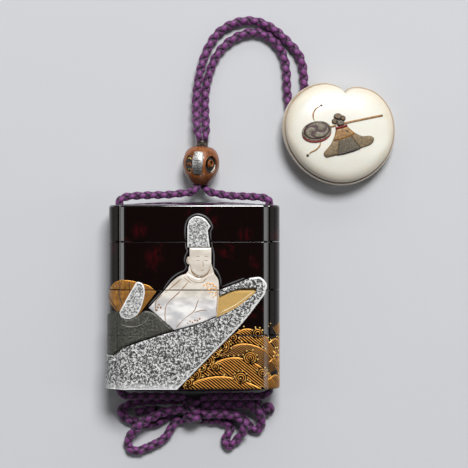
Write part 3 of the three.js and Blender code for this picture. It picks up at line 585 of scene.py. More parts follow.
BOW = {
    "bow_left_narrow": [
        (KNOT_LEFT, -42.9, 2.1), (-10, -43.1, CORD_Z), (-17, -43.2, CORD_Z), (-23.3, -43.7, CORD_Z),
        (-27.6, -45.1, CORD_Z), (-30.4, -47.8, CORD_Z), (-28.8, -50.2, CORD_Z), (-25.2, -51.9, CORD_Z),
        (-21.5, -52.8, CORD_Z), (-17.8, -52.9, CORD_Z), (-14.2, -51.7, CORD_Z), (-11.4, -49.4, CORD_Z),
        (-8.6, -47.5, CORD_Z), (KNOT_LEFT, -46.9, 2.1)],
    "bow_left_open": [
        (KNOT_LEFT, -46.5, 6.2), (-9, -46.8, 6.2), (-12.3, -47.6, 6.1), (-15.8, -49, 6.1),
        (-18.6, -50.4, 6.1), (-21.2, -52.1, 6), (-23.6, -54.2, 5.5), (-25.8, -56.5, 4), (-27.1, -58.9, 2.7),
        (-27.4, -61.3, CORD_Z), (-26.1, -63.4, CORD_Z), (-23.4, -63.9, CORD_Z), (-20.2, -62.8, CORD_Z),
        (-16.9, -61.3, CORD_Z), (-13.4, -59.4, CORD_Z), (-11, -56.9, CORD_Z), (-9.8, -54.7, CORD_Z),
        (-8.5, -52.9, CORD_Z), (-6.9, -51.5, CORD_Z), (KNOT_LEFT - 0.2, -51, CORD_Z)],
    "bow_left_tail": [
        (-15.6, -47.1, CORD_Z), (-18.6, -47.2, CORD_Z), (-21.4, -47.5, CORD_Z), (-24, -48.1, CORD_Z)],
    "bow_right_loop": [
        (KNOT_RIGHT, -44.7, 6.2), (9, -44.6, 6.1), (15, -44.4, 6), (20, -44.6, 5.9), (23.4, -45.2, 5.7),
        (25.8, -47, 5.3), (27.2, -49.8, 4.2), (27.4, -52.6, 2.8), (26.3, -54.9, CORD_Z),
        (24.1, -55.2, CORD_Z), (22, -53.2, CORD_Z), (19.8, -50.8, CORD_Z), (16.5, -49, CORD_Z),
        (12, -47.7, CORD_Z), (7.5, -47, CORD_Z), (KNOT_RIGHT, -46.9, 2.1)],
    "bow_right_fold": [
        (KNOT_RIGHT, -51, CORD_Z), (7.8, -51.4, CORD_Z), (12.2, -52.1, CORD_Z), (14.4, -53.7, CORD_Z),
        (14.2, -55.8, CORD_Z), (13.1, -58, CORD_Z), (12.3, -60.3, CORD_Z), (13.7, -61.8, CORD_Z),
        (15.9, -60.7, CORD_Z), (17.8, -58.7, 2.6), (19.4, -56.5, 4), (20.3, -54.1, 5.6), (19.9, -51.6, 6.1),
        (17.7, -49.7, 6.1), (14.3, -48.8, 6.1), (9.5, -48.5, 6.1), (KNOT_RIGHT, -48.6, 6.2)],
    "bow_right_tail": [
        (KNOT_RIGHT, -42.9, 2.1), (10, -42.5, CORD_Z), (17, -42.4, CORD_Z), (22.8, -42.8, CORD_Z),
        (26.8, -44.4, 2.3)],
}
STRANDS = 2  # wound each way
TURN = 8.8  # along the cord, for one whole turn of a strand
STRAND_STEP = 0.3
STRAND_HALF_WIDTH = 1.22
STRAND_HALF_HEIGHT = 0.78
WEAVE = 0.3  # how far a strand rises over and sinks under the others
STRAND_SIDES = 10
SIDE_RADIUS = 0.88 * CORD_RADIUS  # drawn taut along the case


def carried_frames(line):
    """Two directions across the line at each of its points, turning as little as they can."""
    ahead = np.gradient(line, axis=0)
    ahead /= np.linalg.norm(ahead, axis=1)[:, None]
    side = np.zeros_like(line)
    side[0] = np.cross(ahead[0], (0.1, 0.2, 1.0))
    side[0] /= np.linalg.norm(side[0])
    for i in range(1, len(line)):
        carried = side[i - 1] - ahead[i] * np.dot(side[i - 1], ahead[i])
        side[i] = carried / np.linalg.norm(carried)
    return side, np.cross(ahead, side)


def strand(line, side, up, size, number, hand):
    """One strand of the braid as a flat tube, with its crown marked where it lies on top; the mark drives the
    silk's painted highlight and painted shade.

    `size` is the cord's radius at each point of the line.
    """
    along = np.arange(len(line)) * STRAND_STEP
    crossing = along * 2 * STRANDS / TURN
    turn = 2 * math.pi * (hand * along / TURN + number / STRANDS)
    lift = hand * np.cos(math.pi * crossing)
    share = size / CORD_RADIUS
    radius = (CORD_RADIUS + 0.05 - STRAND_HALF_HEIGHT - WEAVE + WEAVE * lift) * share
    outward = np.cos(turn)[:, None] * side + np.sin(turn)[:, None] * up
    middle = line + radius[:, None] * outward
    ahead = np.gradient(middle, axis=0)
    across = np.cross(ahead, outward)
    across /= np.linalg.norm(across, axis=1)[:, None]
    points, painted_light_marks = [], []
    for k in range(STRAND_SIDES):
        angle = 2 * math.pi * k / STRAND_SIDES
        high = STRAND_HALF_HEIGHT * share[:, None] * math.cos(angle)
        wide = STRAND_HALF_WIDTH * share[:, None] * math.sin(angle)
        points.append(middle + high * outward + wide * across)
        # painted light: high where the strand lies on top and faces outwards, low where it crosses under
        painted_light_marks.append(np.clip(0.5 + 0.5 * lift, 0, 1) * (0.55 + 0.45 * math.cos(angle)))
    grid = np.stack(points, axis=1)
    crown = np.stack(painted_light_marks, axis=1)
    faces = []
    for i in range(len(line) - 1):
        row = i * STRAND_SIDES
        for k in range(STRAND_SIDES):
            after = (k + 1) % STRAND_SIDES
            faces.append((row + k, row + after, row + STRAND_SIDES + after, row + STRAND_SIDES + k))
    last = (len(line) - 1) * STRAND_SIDES
    faces.append(tuple(range(STRAND_SIDES - 1, -1, -1)))
    faces.append(tuple(last + k for k in range(STRAND_SIDES)))
    return grid.reshape(-1, 3), faces, crown.reshape(-1)


def braid(name, route, size=CORD_RADIUS, drawn_in=0.0):
    """A round silk braid of four strands along a route, each over one and under one.

    `drawn_in` is the share by which it is squeezed thinner where it starts.
    """
    line = evenly(curve(route, 12), STRAND_STEP)
    size = size * (1 - drawn_in * np.exp(-np.arange(len(line)) * STRAND_STEP / 3))
    side, up = carried_frames(line)
    points, faces, painted_light_marks = [], [], []
    for hand in (1, -1):
        for number in range(STRANDS):
            more_points, more_faces, more_painted_light_marks = strand(line, side, up, size, number, hand)
            start = sum(len(p) for p in points)
            points.append(more_points)
            faces += [tuple(start + i for i in face) for face in more_faces]
            painted_light_marks.append(more_painted_light_marks)
    # the crown mark carries the silk's painted highlight and painted shade
    marks = {"crown": np.concatenate(painted_light_marks).astype(np.float32)}
    piece = make_piece(name, np.concatenate(points), faces, SILK, "silk", marks=marks)
    lay_threads(piece.data)
    return piece, line


def lay_threads(mesh):
    """A map of each strand: once round it, and along it in millimetres."""
    corners = np.zeros(len(mesh.loops), dtype=np.int32)
    mesh.loops.foreach_get("vertex_index", corners)
    around = (corners % STRAND_SIDES) / STRAND_SIDES
    around = 1 - np.abs(1 - 2 * around)
    along = (corners // STRAND_SIDES) * STRAND_STEP
    layer = mesh.uv_layers.new(name="threads")
    layer.data.foreach_set("uv", np.stack([around, along], axis=1).astype(np.float32).reshape(-1))


def declare_cord(piece, line, nodes, with_pieces=()):
    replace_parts(piece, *nodes)
    length = float(np.sum(np.linalg.norm(np.diff(line, axis=0), axis=1))) * MM
    path = [tuple(p * MM) for p in evenly(line, 0.9)]
    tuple(path[0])
    list(with_pieces)


def knot_wraps():
    """The turns of cord round the middle of the bow, leaning across each other."""
    parts = []
    for name, y, lean in (("low", -50.0, 0.12), ("middle", -46.8, -0.3), ("high", -43.6, 0.16)):
        route = []
        for i in range(15):
            angle = -math.pi / 2 + 2 * math.pi * i / 14
            x = 2.3 * math.cos(angle)
            route.append((KNOT.x + x, y + x * lean + 0.25 * (i - 7) / 7, KNOT.z + 2.5 * math.sin(angle)))
        parts.append(braid("bow_knot_" + name, route)[0])
    return parts


def tail_knob():
    """The small knot that ends the cord."""
    route = []
    for i in range(13):
        angle = math.pi + 2.6 * math.pi * i / 12
        route.append((TAIL_KNOB.x + 1.05 * math.cos(angle), TAIL_KNOB.y + 1.05 * math.sin(angle),
                      TAIL_KNOB.z - 0.9 + 1.9 * i / 12))
    return braid("bow_tail_knob_silk", route, CORD_RADIUS - 0.1)[0]


def string_the_inro():
    wraps = knot_wraps()
    for wrap in wraps:
        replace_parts(wrap, "bow_knot")
    knob = tail_knob()
    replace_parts(knob, "bow_tail_knob")
    for name, route in ARCHES.items():
        piece, line = braid(name + "_silk", route, drawn_in=0.3)
        declare_cord(piece, line, [name])
    for side, sign, top, base, extra in (("left", -1, LEFT_TOP, LEFT_BASE, wraps),
                                         ("right", 1, RIGHT_TOP, RIGHT_BASE, [])):
        inside = [(sign * CHANNEL_X, y, MID_Z) for y in (CHANNEL_MOUTH, 19, 0, -19, -CHANNEL_MOUTH)]
        piece, line = braid(f"cord_{side}_side_silk", [*top, *inside, *base], SIDE_RADIUS)
        nodes = [f"cord_{side}_{stretch}" for stretch in ("top", "channel", "base")]
        declare_cord(piece, line, nodes, extra)
    tails = {name: braid(name + "_silk", BOW[name])[0] for name in ("bow_left_tail", "bow_right_tail")}
    for name, tail in tails.items():
        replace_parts(tail, name)
    carried = {"bow_left_open": [tails["bow_left_tail"]], "bow_right_loop": [tails["bow_right_tail"], knob]}
    for name in ("bow_left_narrow", "bow_left_open", "bow_right_loop", "bow_right_fold"):
        piece, line = braid(name + "_silk", BOW[name])
        declare_cord(piece, line, [name], carried.get(name, ()))


string_the_inro()


# ---- the lacquered case -----------------------------------------------------------------------------
def arc(x, y, radius_x, radius_y, start, end, steps):
    """Points along an oval, from one angle to another in degrees."""
    turns = [math.radians(start + (end - start) * i / steps) for i in range(steps + 1)]
    return [(x + radius_x * math.cos(turn), y + radius_y * math.sin(turn)) for turn in turns]


RUNNER_STEPS = 14
CORNER_STEPS = 10


def case_quarter(offset):
    """A quarter of the case's section, from a cord runner's crown to the flat of the front."""
    corner = CORNER + offset
    return [*arc(HALF_WIDTH + offset, 0, RUNNER_OUT, RUNNER_HALF + offset, 0, 90, RUNNER_STEPS),
            *arc(HALF_WIDTH - CORNER, MID_Z - CORNER, corner, corner, 0, 90, CORNER_STEPS)]


def room_quarter(inset, corner):
    """A quarter of a room, pocket or rim, with as many points as a quarter of the case."""
    half_x = CHANNEL_X - CHANNEL_RADIUS - SHELL - inset
    half_z = MID_Z - SHELL - inset
    side = [(half_x, (half_z - corner) * i / (RUNNER_STEPS + 1)) for i in range(RUNNER_STEPS + 1)]
    return [*side, *arc(half_x - corner, half_z - corner, corner, corner, 0, 90, CORNER_STEPS)]


def ring(quarter, y, scale=1.0):
    """A whole section of the case at a height, from a quarter of it."""
    left = [(-x, z) for x, z in quarter]
    half = [*quarter, *reversed(left)]
    back = [(-x, -z) for x, z in half]
    return [(x * scale, y, MID_Z + z * scale) for x, z in [*half, *back[1:-1]]]


EASED = ((0.0, -EDGE), (0.3 * EDGE, -0.3 * EDGE), (EDGE, 0.0), (EDGE + 0.3, 0.0))
END_EDGE = ((-1.0, 0.0), (-0.7, 0.0), (-0.42, -0.06), (-0.2, -0.18), (-0.06, -0.36), (0.0, -0.6))
DOME_SHARES = (0.97, 0.92, 0.84, 0.72, 0.58, 0.42, 0.24, 0.1)


def domed_end(edge_y, side):
    """Rings over one end of the case, from its wall to near the middle."""
    rings = [ring(case_quarter(offset), edge_y + side * dy) for dy, offset in END_EDGE]
    for share in DOME_SHARES:
        rings.append(ring(case_quarter(-0.6), edge_y + side * DOME * (1 - share * share), share))
    return rings


def joint_edge(y, side):
    """Rings of an eased edge at a joint; `side` is 1 where the section lies above the joint."""
    return [ring(case_quarter(offset), y + side * dy) for dy, offset in EASED]


def rim(top):
    """Rings of the nesting rim that stands over a section's top."""
    return [ring(room_quarter(FIT, CORNER), top), ring(room_quarter(FIT, CORNER), top + RIM_HEIGHT - 0.2),
            ring(room_quarter(FIT + 0.15, CORNER - 0.15), top + RIM_HEIGHT)]


def hollow(levels):
    """A room or pocket from its levels of (y, inset, corner radius)."""
    return loft([ring(room_quarter(inset, corner), y) for y, inset, corner in levels])


def channel_tools(low, high):
    """The two bores that the cord runs through."""
    around = [math.radians(15 * i) for i in range(24)]
    tools = []
    for x in (-CHANNEL_X, CHANNEL_X):
        rings = [[(x + CHANNEL_RADIUS * math.cos(a), y, MID_Z + CHANNEL_RADIUS * math.sin(a)) for a in around]
                 for y in (low, high)]
        tools.append(loft(rings))
    return tools


POCKET = RIM_HEIGHT + FIT
ROOM = (FIT + RIM_WALL, CORNER - 1)  # inset and corner radius of a room


def lay_case():
    past = 5  # how far a tool stands out of the section that it cuts
    low = JOINTS[0] + HALF_SEAM
    shell = loft([*joint_edge(low, 1), *domed_end(LID_TOP, 1)], (None, (0, LID_TOP + DOME, MID_Z)))
    room = [(low - past, 0, CORNER), (low + POCKET, 0, CORNER), (low + POCKET, *ROOM),
            (LID_TOP - FLOOR, *ROOM)]
    section("lid", shell, hollow(room), low - past, LID_TOP + past)

    for name, top, bottom in (("upper_tray", JOINTS[0], JOINTS[1]), ("middle_tray", JOINTS[1], JOINTS[2])):
        top -= HALF_SEAM
        low = bottom + HALF_SEAM
        shell = loft([*joint_edge(low, 1), *reversed(joint_edge(top, -1)), *rim(top)])
        room = hollow([(low + POCKET + FLOOR, *ROOM), (top + past, *ROOM)])
        pocket = hollow([(low - past, 0, CORNER), (low + POCKET, 0, CORNER)])
        section(name, shell, join([room, pocket]), low - past, top + past)

    top = JOINTS[2] - HALF_SEAM
    shell = loft([*reversed(domed_end(BASE_BOTTOM, -1)), *reversed(joint_edge(top, -1)), *rim(top)],
                 ((0, BASE_BOTTOM - DOME, MID_Z), None))
    section("lower_tray", shell, hollow([(BASE_BOTTOM + FLOOR, *ROOM), (top + past, *ROOM)]),
            BASE_BOTTOM - past, top + past)


def section(node, shell, room, low, high):
    """One section of the case, hollowed out and bored for the cord."""
    body = make_piece(node + "_lacquer", *shell, LACQUER, "lacquer")
    cut(body, [room, *channel_tools(low, high)])
    body.data.shade_smooth()
    body.data.set_sharp_from_angle(angle=math.radians(38))
    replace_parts(body, node)


lay_case()

# ---- drawing on the case ----------------------------------------------------------------------------
# A place on the front and sides is (t, y): t runs from the middle of the front round each side.
CORNER_SPAN = 4.1
RUNNER_SPAN = 10.8
SIDE_END = 41.3  # where a drawing stops, just past the runner's crown


def corner_sweep(rise):
    """Degrees of the corner above the runner, on a surface raised by `rise`."""
    return 90 - math.degrees(math.asin(max(rise - 0.6, 0) / (CORNER + rise)))


def skin(t, rise):
    """(x, z) at a place on the case, raised by `rise` over the lacquer."""
    side = math.copysign(1, t)
    t = abs(t)
    if t <= FLAT:
        return side * t, CASE_DEPTH + rise
    if t <= FLAT + CORNER_SPAN:
        share = (t - FLAT) / CORNER_SPAN
        turn = math.radians(corner_sweep(rise) * share)
        drop = max(0.6 - rise, 0) * max(share - 0.75, 0) * 4
        return (side * (FLAT + (CORNER + rise) * math.sin(turn)),
                CASE_DEPTH - CORNER + (CORNER + rise) * math.cos(turn) - drop)
    turn = math.radians(90 * (1 - (t - FLAT - CORNER_SPAN) / RUNNER_SPAN))
    return (side * (HALF_WIDTH + rise + RUNNER_OUT * math.cos(turn)),
            MID_Z + (RUNNER_HALF + rise) * math.sin(turn))


def unroll(x, rise):
    """The t of a place that lies at `x` as seen from the front."""
    side = math.copysign(1, x)
    x = abs(x)
    if x <= FLAT:
        return side * x
    sweep = corner_sweep(rise)
    reach = FLAT + (CORNER + rise) * math.sin(math.radians(sweep))
    if x <= reach:
        return side * (FLAT + CORNER_SPAN * math.degrees(math.asin((x - FLAT) / (CORNER + rise))) / sweep)
    share = min(max((x - HALF_WIDTH - rise) / RUNNER_OUT, 0), 1)
    t = FLAT + CORNER_SPAN + RUNNER_SPAN * (1 - math.degrees(math.acos(share)) / 90)
    return side * min(t, SIDE_END)


def smoothed(points, steps):
    """A smooth flat curve through (x, y) points."""
    return [(p.x, p.y) for p in curve([(*p, 0) for p in points], steps)]


def drawn(*runs):
    """A line from runs of points: a list is a smooth curve through them, a tuple is straight."""
    line = []
    for run in runs:
        points = smoothed(run, 8) if isinstance(run, list) else list(run)
        line += points[1:] if line and math.dist(line[-1], points[0]) < 1e-6 else points
    return line


def divided(line, step, closed):
    """The line with its corners kept and no stretch longer than `step`."""
    ends = [*line, line[0]] if closed else line
    fine = []
    for a, b in zip(ends, ends[1:]):
        pieces = max(1, math.ceil(math.dist(a, b) / step))
        fine += [(a[0] + (b[0] - a[0]) * i / pieces, a[1] + (b[1] - a[1]) * i / pieces)
                 for i in range(pieces)]
    return fine if closed else [*fine, ends[-1]]


def within(points, outline):
    """Which of the points lie inside a closed outline."""
    x, y = points[:, :1], points[:, 1:2]
    a = np.array(outline)
    b = np.roll(a, -1, axis=0)
    spans = (a[:, 1] > y) != (b[:, 1] > y)
    rise = b[:, 1] - a[:, 1]
    meets = (b[:, 0] - a[:, 0]) * (y - a[:, 1]) / np.where(rise == 0, 1e-12, rise) + a[:, 0]
    return np.sum(spans & (x < meets), axis=1) % 2 == 1


def smooth(value, low, high):
    """0 up to `low`, 1 from `high`, smooth in between."""
    share = min(max((value - low) / (high - low), 0), 1)
    return share * share * (3 - 2 * share)


def tree_of(points):
    tree = kdtree.KDTree(len(points))
    for i, (x, y) in enumerate(points):
        tree.insert((x, y, 0), i)
    tree.balance()
    return tree


def distances(points, tree):
    """How far each point is from the nearest one in the tree."""
    return np.array([tree.find((x, y, 0))[2] for x, y in points])


def shown(points, insides, outsides):
    """Which points lie in any inside outline and in no outside one."""
    keep = np.any([within(points, outline) for outline in insides], axis=0)
    for outline in outsides:
        keep &= ~within(points, outline)
    return keep


def fill(insides, outsides, low, high, cell):
    """Triangles over what lies in any inside outline, in no outside one, and between two heights."""
    everything = np.concatenate([np.array(outline) for outline in insides])
    left, right = everything[:, 0].min() - cell, everything[:, 0].max() + cell
    points, edges = [], []
    lines = [(divided(outline, cell, True), True) for outline in (*insides, *outsides)]
    lines += [(divided([(left, y), (right, y)], cell, False), False) for y in (low, high)]
    for line, closed in lines:
        start = len(points)
        points += line
        edges += [(start + i, start + i + 1) for i in range(len(line) - 1)]
        if closed:
            edges.append((start + len(line) - 1, start))
    foot, head = max(low, everything[:, 1].min()), min(high, everything[:, 1].max())
    rows = np.arange(foot + cell / 2, head, cell * 0.87)
    grid = np.array([(x + (cell / 2 if row % 2 else 0), y) for row, y in enumerate(rows)
                     for x in np.arange(left, right, cell)])
    grid = grid[shown(grid, insides, outsides)]
    grid = grid[distances(grid, tree_of(points)) > 0.6 * cell]
    flat = [Vector(p) for p in (*points, *grid)]
    flat, _, triangles, *_ = delaunay_2d_cdt(flat, edges, [], 0, 1e-5, False)
    flat = np.array([tuple(p) for p in flat])
    triangles = np.array([t for t in triangles if len(t) == 3])
    middles = flat[triangles].mean(axis=1)
    keep = shown(middles, insides, outsides) & (middles[:, 1] > low) & (middles[:, 1] < high)
    triangles = triangles[keep]
    used, triangles = np.unique(triangles, return_inverse=True)
    return flat[used], triangles.reshape(-1, 3)


def open_edges(triangles):
    """The edges that only one triangle has, each in that triangle's direction."""
    seen = {}
    for a, b, c in triangles.tolist():
        for edge in ((a, b), (b, c), (c, a)):
            if edge[::-1] in seen:
                del seen[edge[::-1]]
            else:
                seen[edge] = True
    return list(seen)


SUNK = 0.03  # how far a plate's foot lies under the surface that it sits on


def raised(flat, triangles, rise, ease, place, form=None, ends=()):
    """A closed plate over a filled drawing, its edge rounded except at its straight `ends`, given as y."""
    border = open_edges(triangles)
    eased = [(a, b) for a, b in border
             if not any(abs(flat[a][1] - y) + abs(flat[b][1] - y) < 1e-3 for y in ends)]
    rim_points = [tuple(flat[a]) for a, b in eased] + [tuple((flat[a] + flat[b]) / 2) for a, b in eased]
    near = distances(flat, tree_of(rim_points))
    sunk = np.clip(ease - near, 0, ease)
    height = rise - ease + np.sqrt(ease ** 2 - sunk ** 2)
    if form:
        height = height + np.array([form(x, y) for x, y in flat]) * np.clip(near / (2 * ease), 0, 1)
    top = [place(x, y, h) for (x, y), h in zip(flat, height)]
    foot = [place(x, y, -SUNK) for x, y in flat]
    count = len(flat)
    faces = [tuple(t) for t in triangles.tolist()]
    faces += [(c + count, b + count, a + count) for a, b, c in triangles.tolist()]
    faces += [(b, a, a + count, b + count) for a, b in border]
    return top + foot, faces


def on_case(t, y, rise):
    """A place drawn on the case, in the part's frame."""
    x, z = skin(t, rise)
    return x, y, z


def unrolled(outline, rise):
    """An outline given as seen from the front, laid round the case's corners."""
    return [(unroll(x, rise), y) for x, y in divided(outline, 0.5, True)]


# The figures' outlines, as seen from the front.
CAP = drawn(((-2.5, 19.9), (-2.5, 28.2)), [(-2.5, 28.2), (-1.6, 30.8), (1.0, 32.3), (4.2, 31.4), (6.7, 28.4)],
            ((5.6, 26.6), (6.4, 19.9)))
HEAD = drawn(((-1.7, 19.7), (-1.7, 14.3)), tuple(arc(2.65, 14.3, 4.35, 6.0, 180, 360, 24)), ((7.0, 19.7),))
EAR = arc(-1.9, 14.6, 1.0, 1.6, 0, 345, 23)
NECK = drawn(((-1.7, 13.4), (-2.2, 10.4)), [(-2.2, 10.4), (-3.0, 9.2), (1.8, 7.0), (5.2, 7.8), (8.2, 9.4)],
             ((8.2, 9.4), (7.0, 13.4)))
ROBE = drawn([(-2.4, 9.5), (-5.6, 8.4), (-8.4, 6.4), (-11.8, 2.5)], ((-18.0, -4.4), (-7.8, -13.2)),
             [(-7.8, -13.2), (1.5, -10.7), (9.2, -7.6)], ((9.2, -7.6), (10.1, 2.6)),
             [(10.1, 2.6), (9.8, 6.8), (7.8, 9.9)], ((7.8, 9.9), (5.2, 8.6)),
             [(5.2, 8.6), (1.8, 7.6), (-2.4, 9.5)])[:-1]
HULL_TOP = drawn(((-35.9, -23.4), (-32.4, -23.6)),
                 [(-32.4, -23.6), (-28.4, -20.8), (-19.0, -17.2), (-7.8, -13.7), (1.5, -11.1), (9.2, -8.0),
                  (17.5, -3.9), (24.4, 1.6)])
HULL_PROW = drawn([(24.4, 1.6), (25.0, 2.8), (23.8, 3.9)], ((23.8, 3.9), (22.6, 7.7)))
HULL_RIM = drawn([(22.6, 7.7), (26.8, 7.8), (29.3, 5.0), (28.5, 1.2)],
                 [(28.5, 1.2), (19.2, -10.7), (6.9, -23.3), (-7.0, -37.4)], ((-7.0, -37.4), (-37.0, -37.4)))
HULL = [*HULL_TOP, *HULL_PROW[1:], *HULL_RIM[1:]]
GUNWALE = drawn([(24.4, 3.7), (16.5, 2.9), (10.4, 0.4)], ((10.4, 0.4), (10.4, 2.8)),
                [(10.4, 2.8), (16.0, 5.0), (22.8, 7.7)])
ROWER_CAP = drawn(((-29.9, -6.2), (-24.4, 3.6)),
                  [(-24.4, 3.6), (-22.6, 6.0), (-20.4, 5.2), (-19.6, 2.4), (-20.6, -3.0), (-22.6, -7.2),
                   (-25.7, -8.8), (-28.9, -8.1), (-29.9, -6.2)])[:-1]
ROWER_ROBE = drawn([(-37.0, -8.4), (-33.0, -6.0), (-29.4, -6.2)],
                   ((-29.4, -6.2), (-26.8, -9.2), (-22.6, -7.8)),
                   [(-22.6, -7.8), (-20.0, -5.7), (-16.8, -6.0), (-8.2, -13.2)],
                   [(-8.2, -13.2), (-19.2, -16.8), (-28.8, -20.4), (-33.0, -24.0)], ((-37.0, -23.0),))
BOAT_INSIDE = drawn([(9.9, 0.6), (14.6, 2.3), (20.2, 3.6), (24.2, 3.9)],
                    ((24.2, 3.9), (25.2, 3.0), (24.4, 1.4)),
                    [(24.4, 1.4), (17.5, -4.1), (9.0, -8.2)])
FAN_ARC = [(-15.1, 1.9), (-17.4, 4.0), (-20.6, 5.3), (-24.4, 6.2), (-28.8, 6.7)]
FAN = drawn(((-25.0, -11.0), (-15.1, 1.9)), FAN_ARC,
            [(-28.8, 6.7), (-31.8, 5.6), (-34.0, 3.2), (-35.8, -1.0)], ((-30.5, -6.5),))
SEA = drawn(((-6.2, -37.0),), [(-6.2, -37.0), (7.0, -23.4), (14.8, -15.4)],
            [(14.8, -15.4), (18.6, -13.0), (23.4, -11.7), (27.6, -12.2), (30.5, -12.6), (33.6, -11.0),
             (37.0, -10.6)],
            ((37.0, -37.0),))

SPANS = {
    "lid": (JOINTS[0] + HALF_SEAM, LID_TOP),
    "upper": (JOINTS[1] + HALF_SEAM, JOINTS[0] - HALF_SEAM),
    "middle": (JOINTS[2] + HALF_SEAM, JOINTS[1] - HALF_SEAM),
    "lower": (BASE_BOTTOM + 0.3, JOINTS[2] - HALF_SEAM),
}
CAP_RISE, HEAD_RISE, ROBE_RISE, HULL_RISE, ROWER_CAP_RISE, ROWER_ROBE_RISE = 1.15, 0.95, 0.85, 1.4, 1.25, 0.75


def soft_folds(t, y):
    """Low swells where the robe's folds run."""
    return 0.08 * math.sin((t + 0.9 * y) / 2.6) + 0.05 * math.sin((t - 0.3 * y) / 3.7)


def round_head(t, y):
    """A slight fall from the middle of the face."""
    return -0.02 * ((t - 2.65) ** 2 / 12 + (y - 14.5) ** 2 / 22)


def lead_folds(t, y):
    """Uneven swells over the rower's robe."""
    return 0.10 * noise.noise((t / 7, y / 5, 3.1))


FIGURES = {
    # outlines, what lies over them, rise, finish, slot, form, where its bright rim, a painted highlight, runs
    "cap": ([CAP], [], CAP_RISE, PEWTER_CAP, "pewter", None, [CAP]),
    "head": ([HEAD, EAR], [CAP], HEAD_RISE, PEARL, "shell", round_head, []),
    "robe": ([ROBE], [HEAD, HULL, GUNWALE], ROBE_RISE, PEARL, "shell", soft_folds, []),
    "hull": ([HULL], [], HULL_RISE, PEWTER_HULL, "pewter", None, [HULL_RIM]),
    "gunwale": ([GUNWALE], [], HULL_RISE, PEWTER_HULL, "pewter", None, []),
    "prow": ([HULL, GUNWALE], [], HULL_RISE, PEWTER_HULL, "pewter", None, [HULL_RIM]),
    "rower_cap": ([ROWER_CAP], [], ROWER_CAP_RISE, PEWTER_CAP, "pewter", None, [ROWER_CAP]),
    "rower_robe": ([ROWER_ROBE], [ROWER_CAP, HULL, ROBE], ROWER_ROBE_RISE, LEAD, "lead", lead_folds, []),
}
INLAYS = (
    ("cap_inlay_lid", "cap", "lid"), ("cap_inlay_upper", "cap", "upper"), ("head_inlay", "head", "upper"),
    ("robe_inlay_upper", "robe", "upper"), ("robe_inlay_middle", "robe", "middle"),
    ("prow_inlay_upper", "prow", "upper"), ("gunwale_inlay_middle", "gunwale", "middle"),
    ("hull_inlay_middle", "hull", "middle"), ("hull_inlay_lower", "hull", "lower"),
    ("rower_cap_inlay_upper", "rower_cap", "upper"), ("rower_cap_inlay_middle", "rower_cap", "middle"),
    ("rower_robe_inlay_middle", "rower_robe", "middle"), ("rower_robe_inlay_lower", "rower_robe", "lower"),
)
CELL = 0.42  # between the points that fill an inlay
GROUND_CELL = 0.8  # and those that fill a flat gold area
SEAM_SETBACK = {"shell": 0.1, "lead": -0.04, "pewter": -0.06}  # from the lacquer's own edge at a joint


def highlight_rim_distance(flat, rise, highlight_rims):
    """Millimetres from each point of an inlay to its bright rim, where the pewter's painted highlight runs.
    """
    lines = [(unroll(x, rise), y) for rim_line in highlight_rims for x, y in divided(rim_line, 0.3, False)]
    return distances(flat, tree_of(lines)) if lines else np.full(len(flat), 99.0)


def lay_inlays():
    for node, key, span in INLAYS:
        insides, over, rise, finish, slot, form, highlight_rims = FIGURES[key]
        low, high = SPANS[span]
        flat, triangles = fill([unrolled(o, rise) for o in insides], [unrolled(o, rise) for o in over],
                               low + SEAM_SETBACK[slot], high - SEAM_SETBACK[slot], CELL)
        ends = (low + SEAM_SETBACK[slot], high - SEAM_SETBACK[slot])
        points, faces = raised(flat, triangles, rise, 0.3, on_case, form, ends)
        # the edge mark places the pewter's painted highlight
        edge = highlight_rim_distance(flat, rise, highlight_rims)
        piece = make_piece(node + "_plate", points, faces, finish, slot, sharp=50,
                           marks={"edge": np.concatenate([edge, edge]).astype(np.float32)})
        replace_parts(piece, node)


def lay_neck():
    """The neck, between the jaw and the robe's collar."""
    over = [unrolled(outline, 0.5) for outline in (HEAD, ROBE)]
    flat, triangles = fill([unrolled(NECK, 0.5)], over, *SPANS["upper"], CELL)
    points, faces = raised(flat, triangles, 0.55, 0.2, on_case)
    make_piece("neck_inlay", points, faces, PEARL, "shell", sharp=50)


def lay_grounds():
    """The flat gold areas: the boat's inside and the fan behind the rower."""
    grounds = (("boat_ground", BOAT_INSIDE, GOLD_FLAT, [ROBE, HULL, GUNWALE]),
               ("fan_ground", FAN, GOLD_FAN, [ROWER_CAP, ROWER_ROBE]))
    for name, outline, finish, over in grounds:
        over = [unrolled(o, 0.2) for o in over]
        for span in ("upper", "middle"):
            low, high = SPANS[span]
            flat, triangles = fill([unrolled(outline, 0.2)], over, low + 0.1, high - 0.1, GROUND_CELL)
            points, faces = raised(flat, triangles, 0.08, 0.06, on_case)
            make_piece(f"{name}_{span}", points, faces, finish, "gilt", sharp=50)


lay_inlays()
lay_neck()
lay_grounds()


# ---- lines and dots in raised gold ------------------------------------------------------------------
ACROSS = ((-0.5, -0.2), (-0.3, 0.75), (0.0, 1.0), (0.3, 0.75), (0.5, -0.2))
SOFT_ACROSS = tuple((k / 8 - 0.5, 0.5 - 0.5 * math.cos(math.pi * k / 4) - 0.08) for k in range(9))


def stroke(line, width, rise, base, place, across=ACROSS):
    """A low rounded strip along a line, standing `base` over the ground, thinner towards its ends."""
    line = evenly(line, max(width, 0.35))
    ahead = np.gradient(line, axis=0)
    ahead /= np.linalg.norm(ahead, axis=1)[:, None] + 1e-9
    points = []
    last = len(line) - 1
    for i, ((x, y), (dx, dy)) in enumerate(zip(line, ahead)):
        full = min(1.0, 0.35 + 0.65 * min(i, last - i) / 3)
        for aside, up in across:
            reach = aside * width * full
            points.append(place(x - dy * reach, y + dx * reach, base + up * rise * full))
    count = len(across)
    faces = [tuple(range(count)), tuple(last * count + k for k in reversed(range(count)))]
    for i in range(last):
        row = i * count
        for k in range(count):
            after = (k + 1) % count
            faces.append((row + k, row + after, row + count + after, row + count + k))
    return points, faces


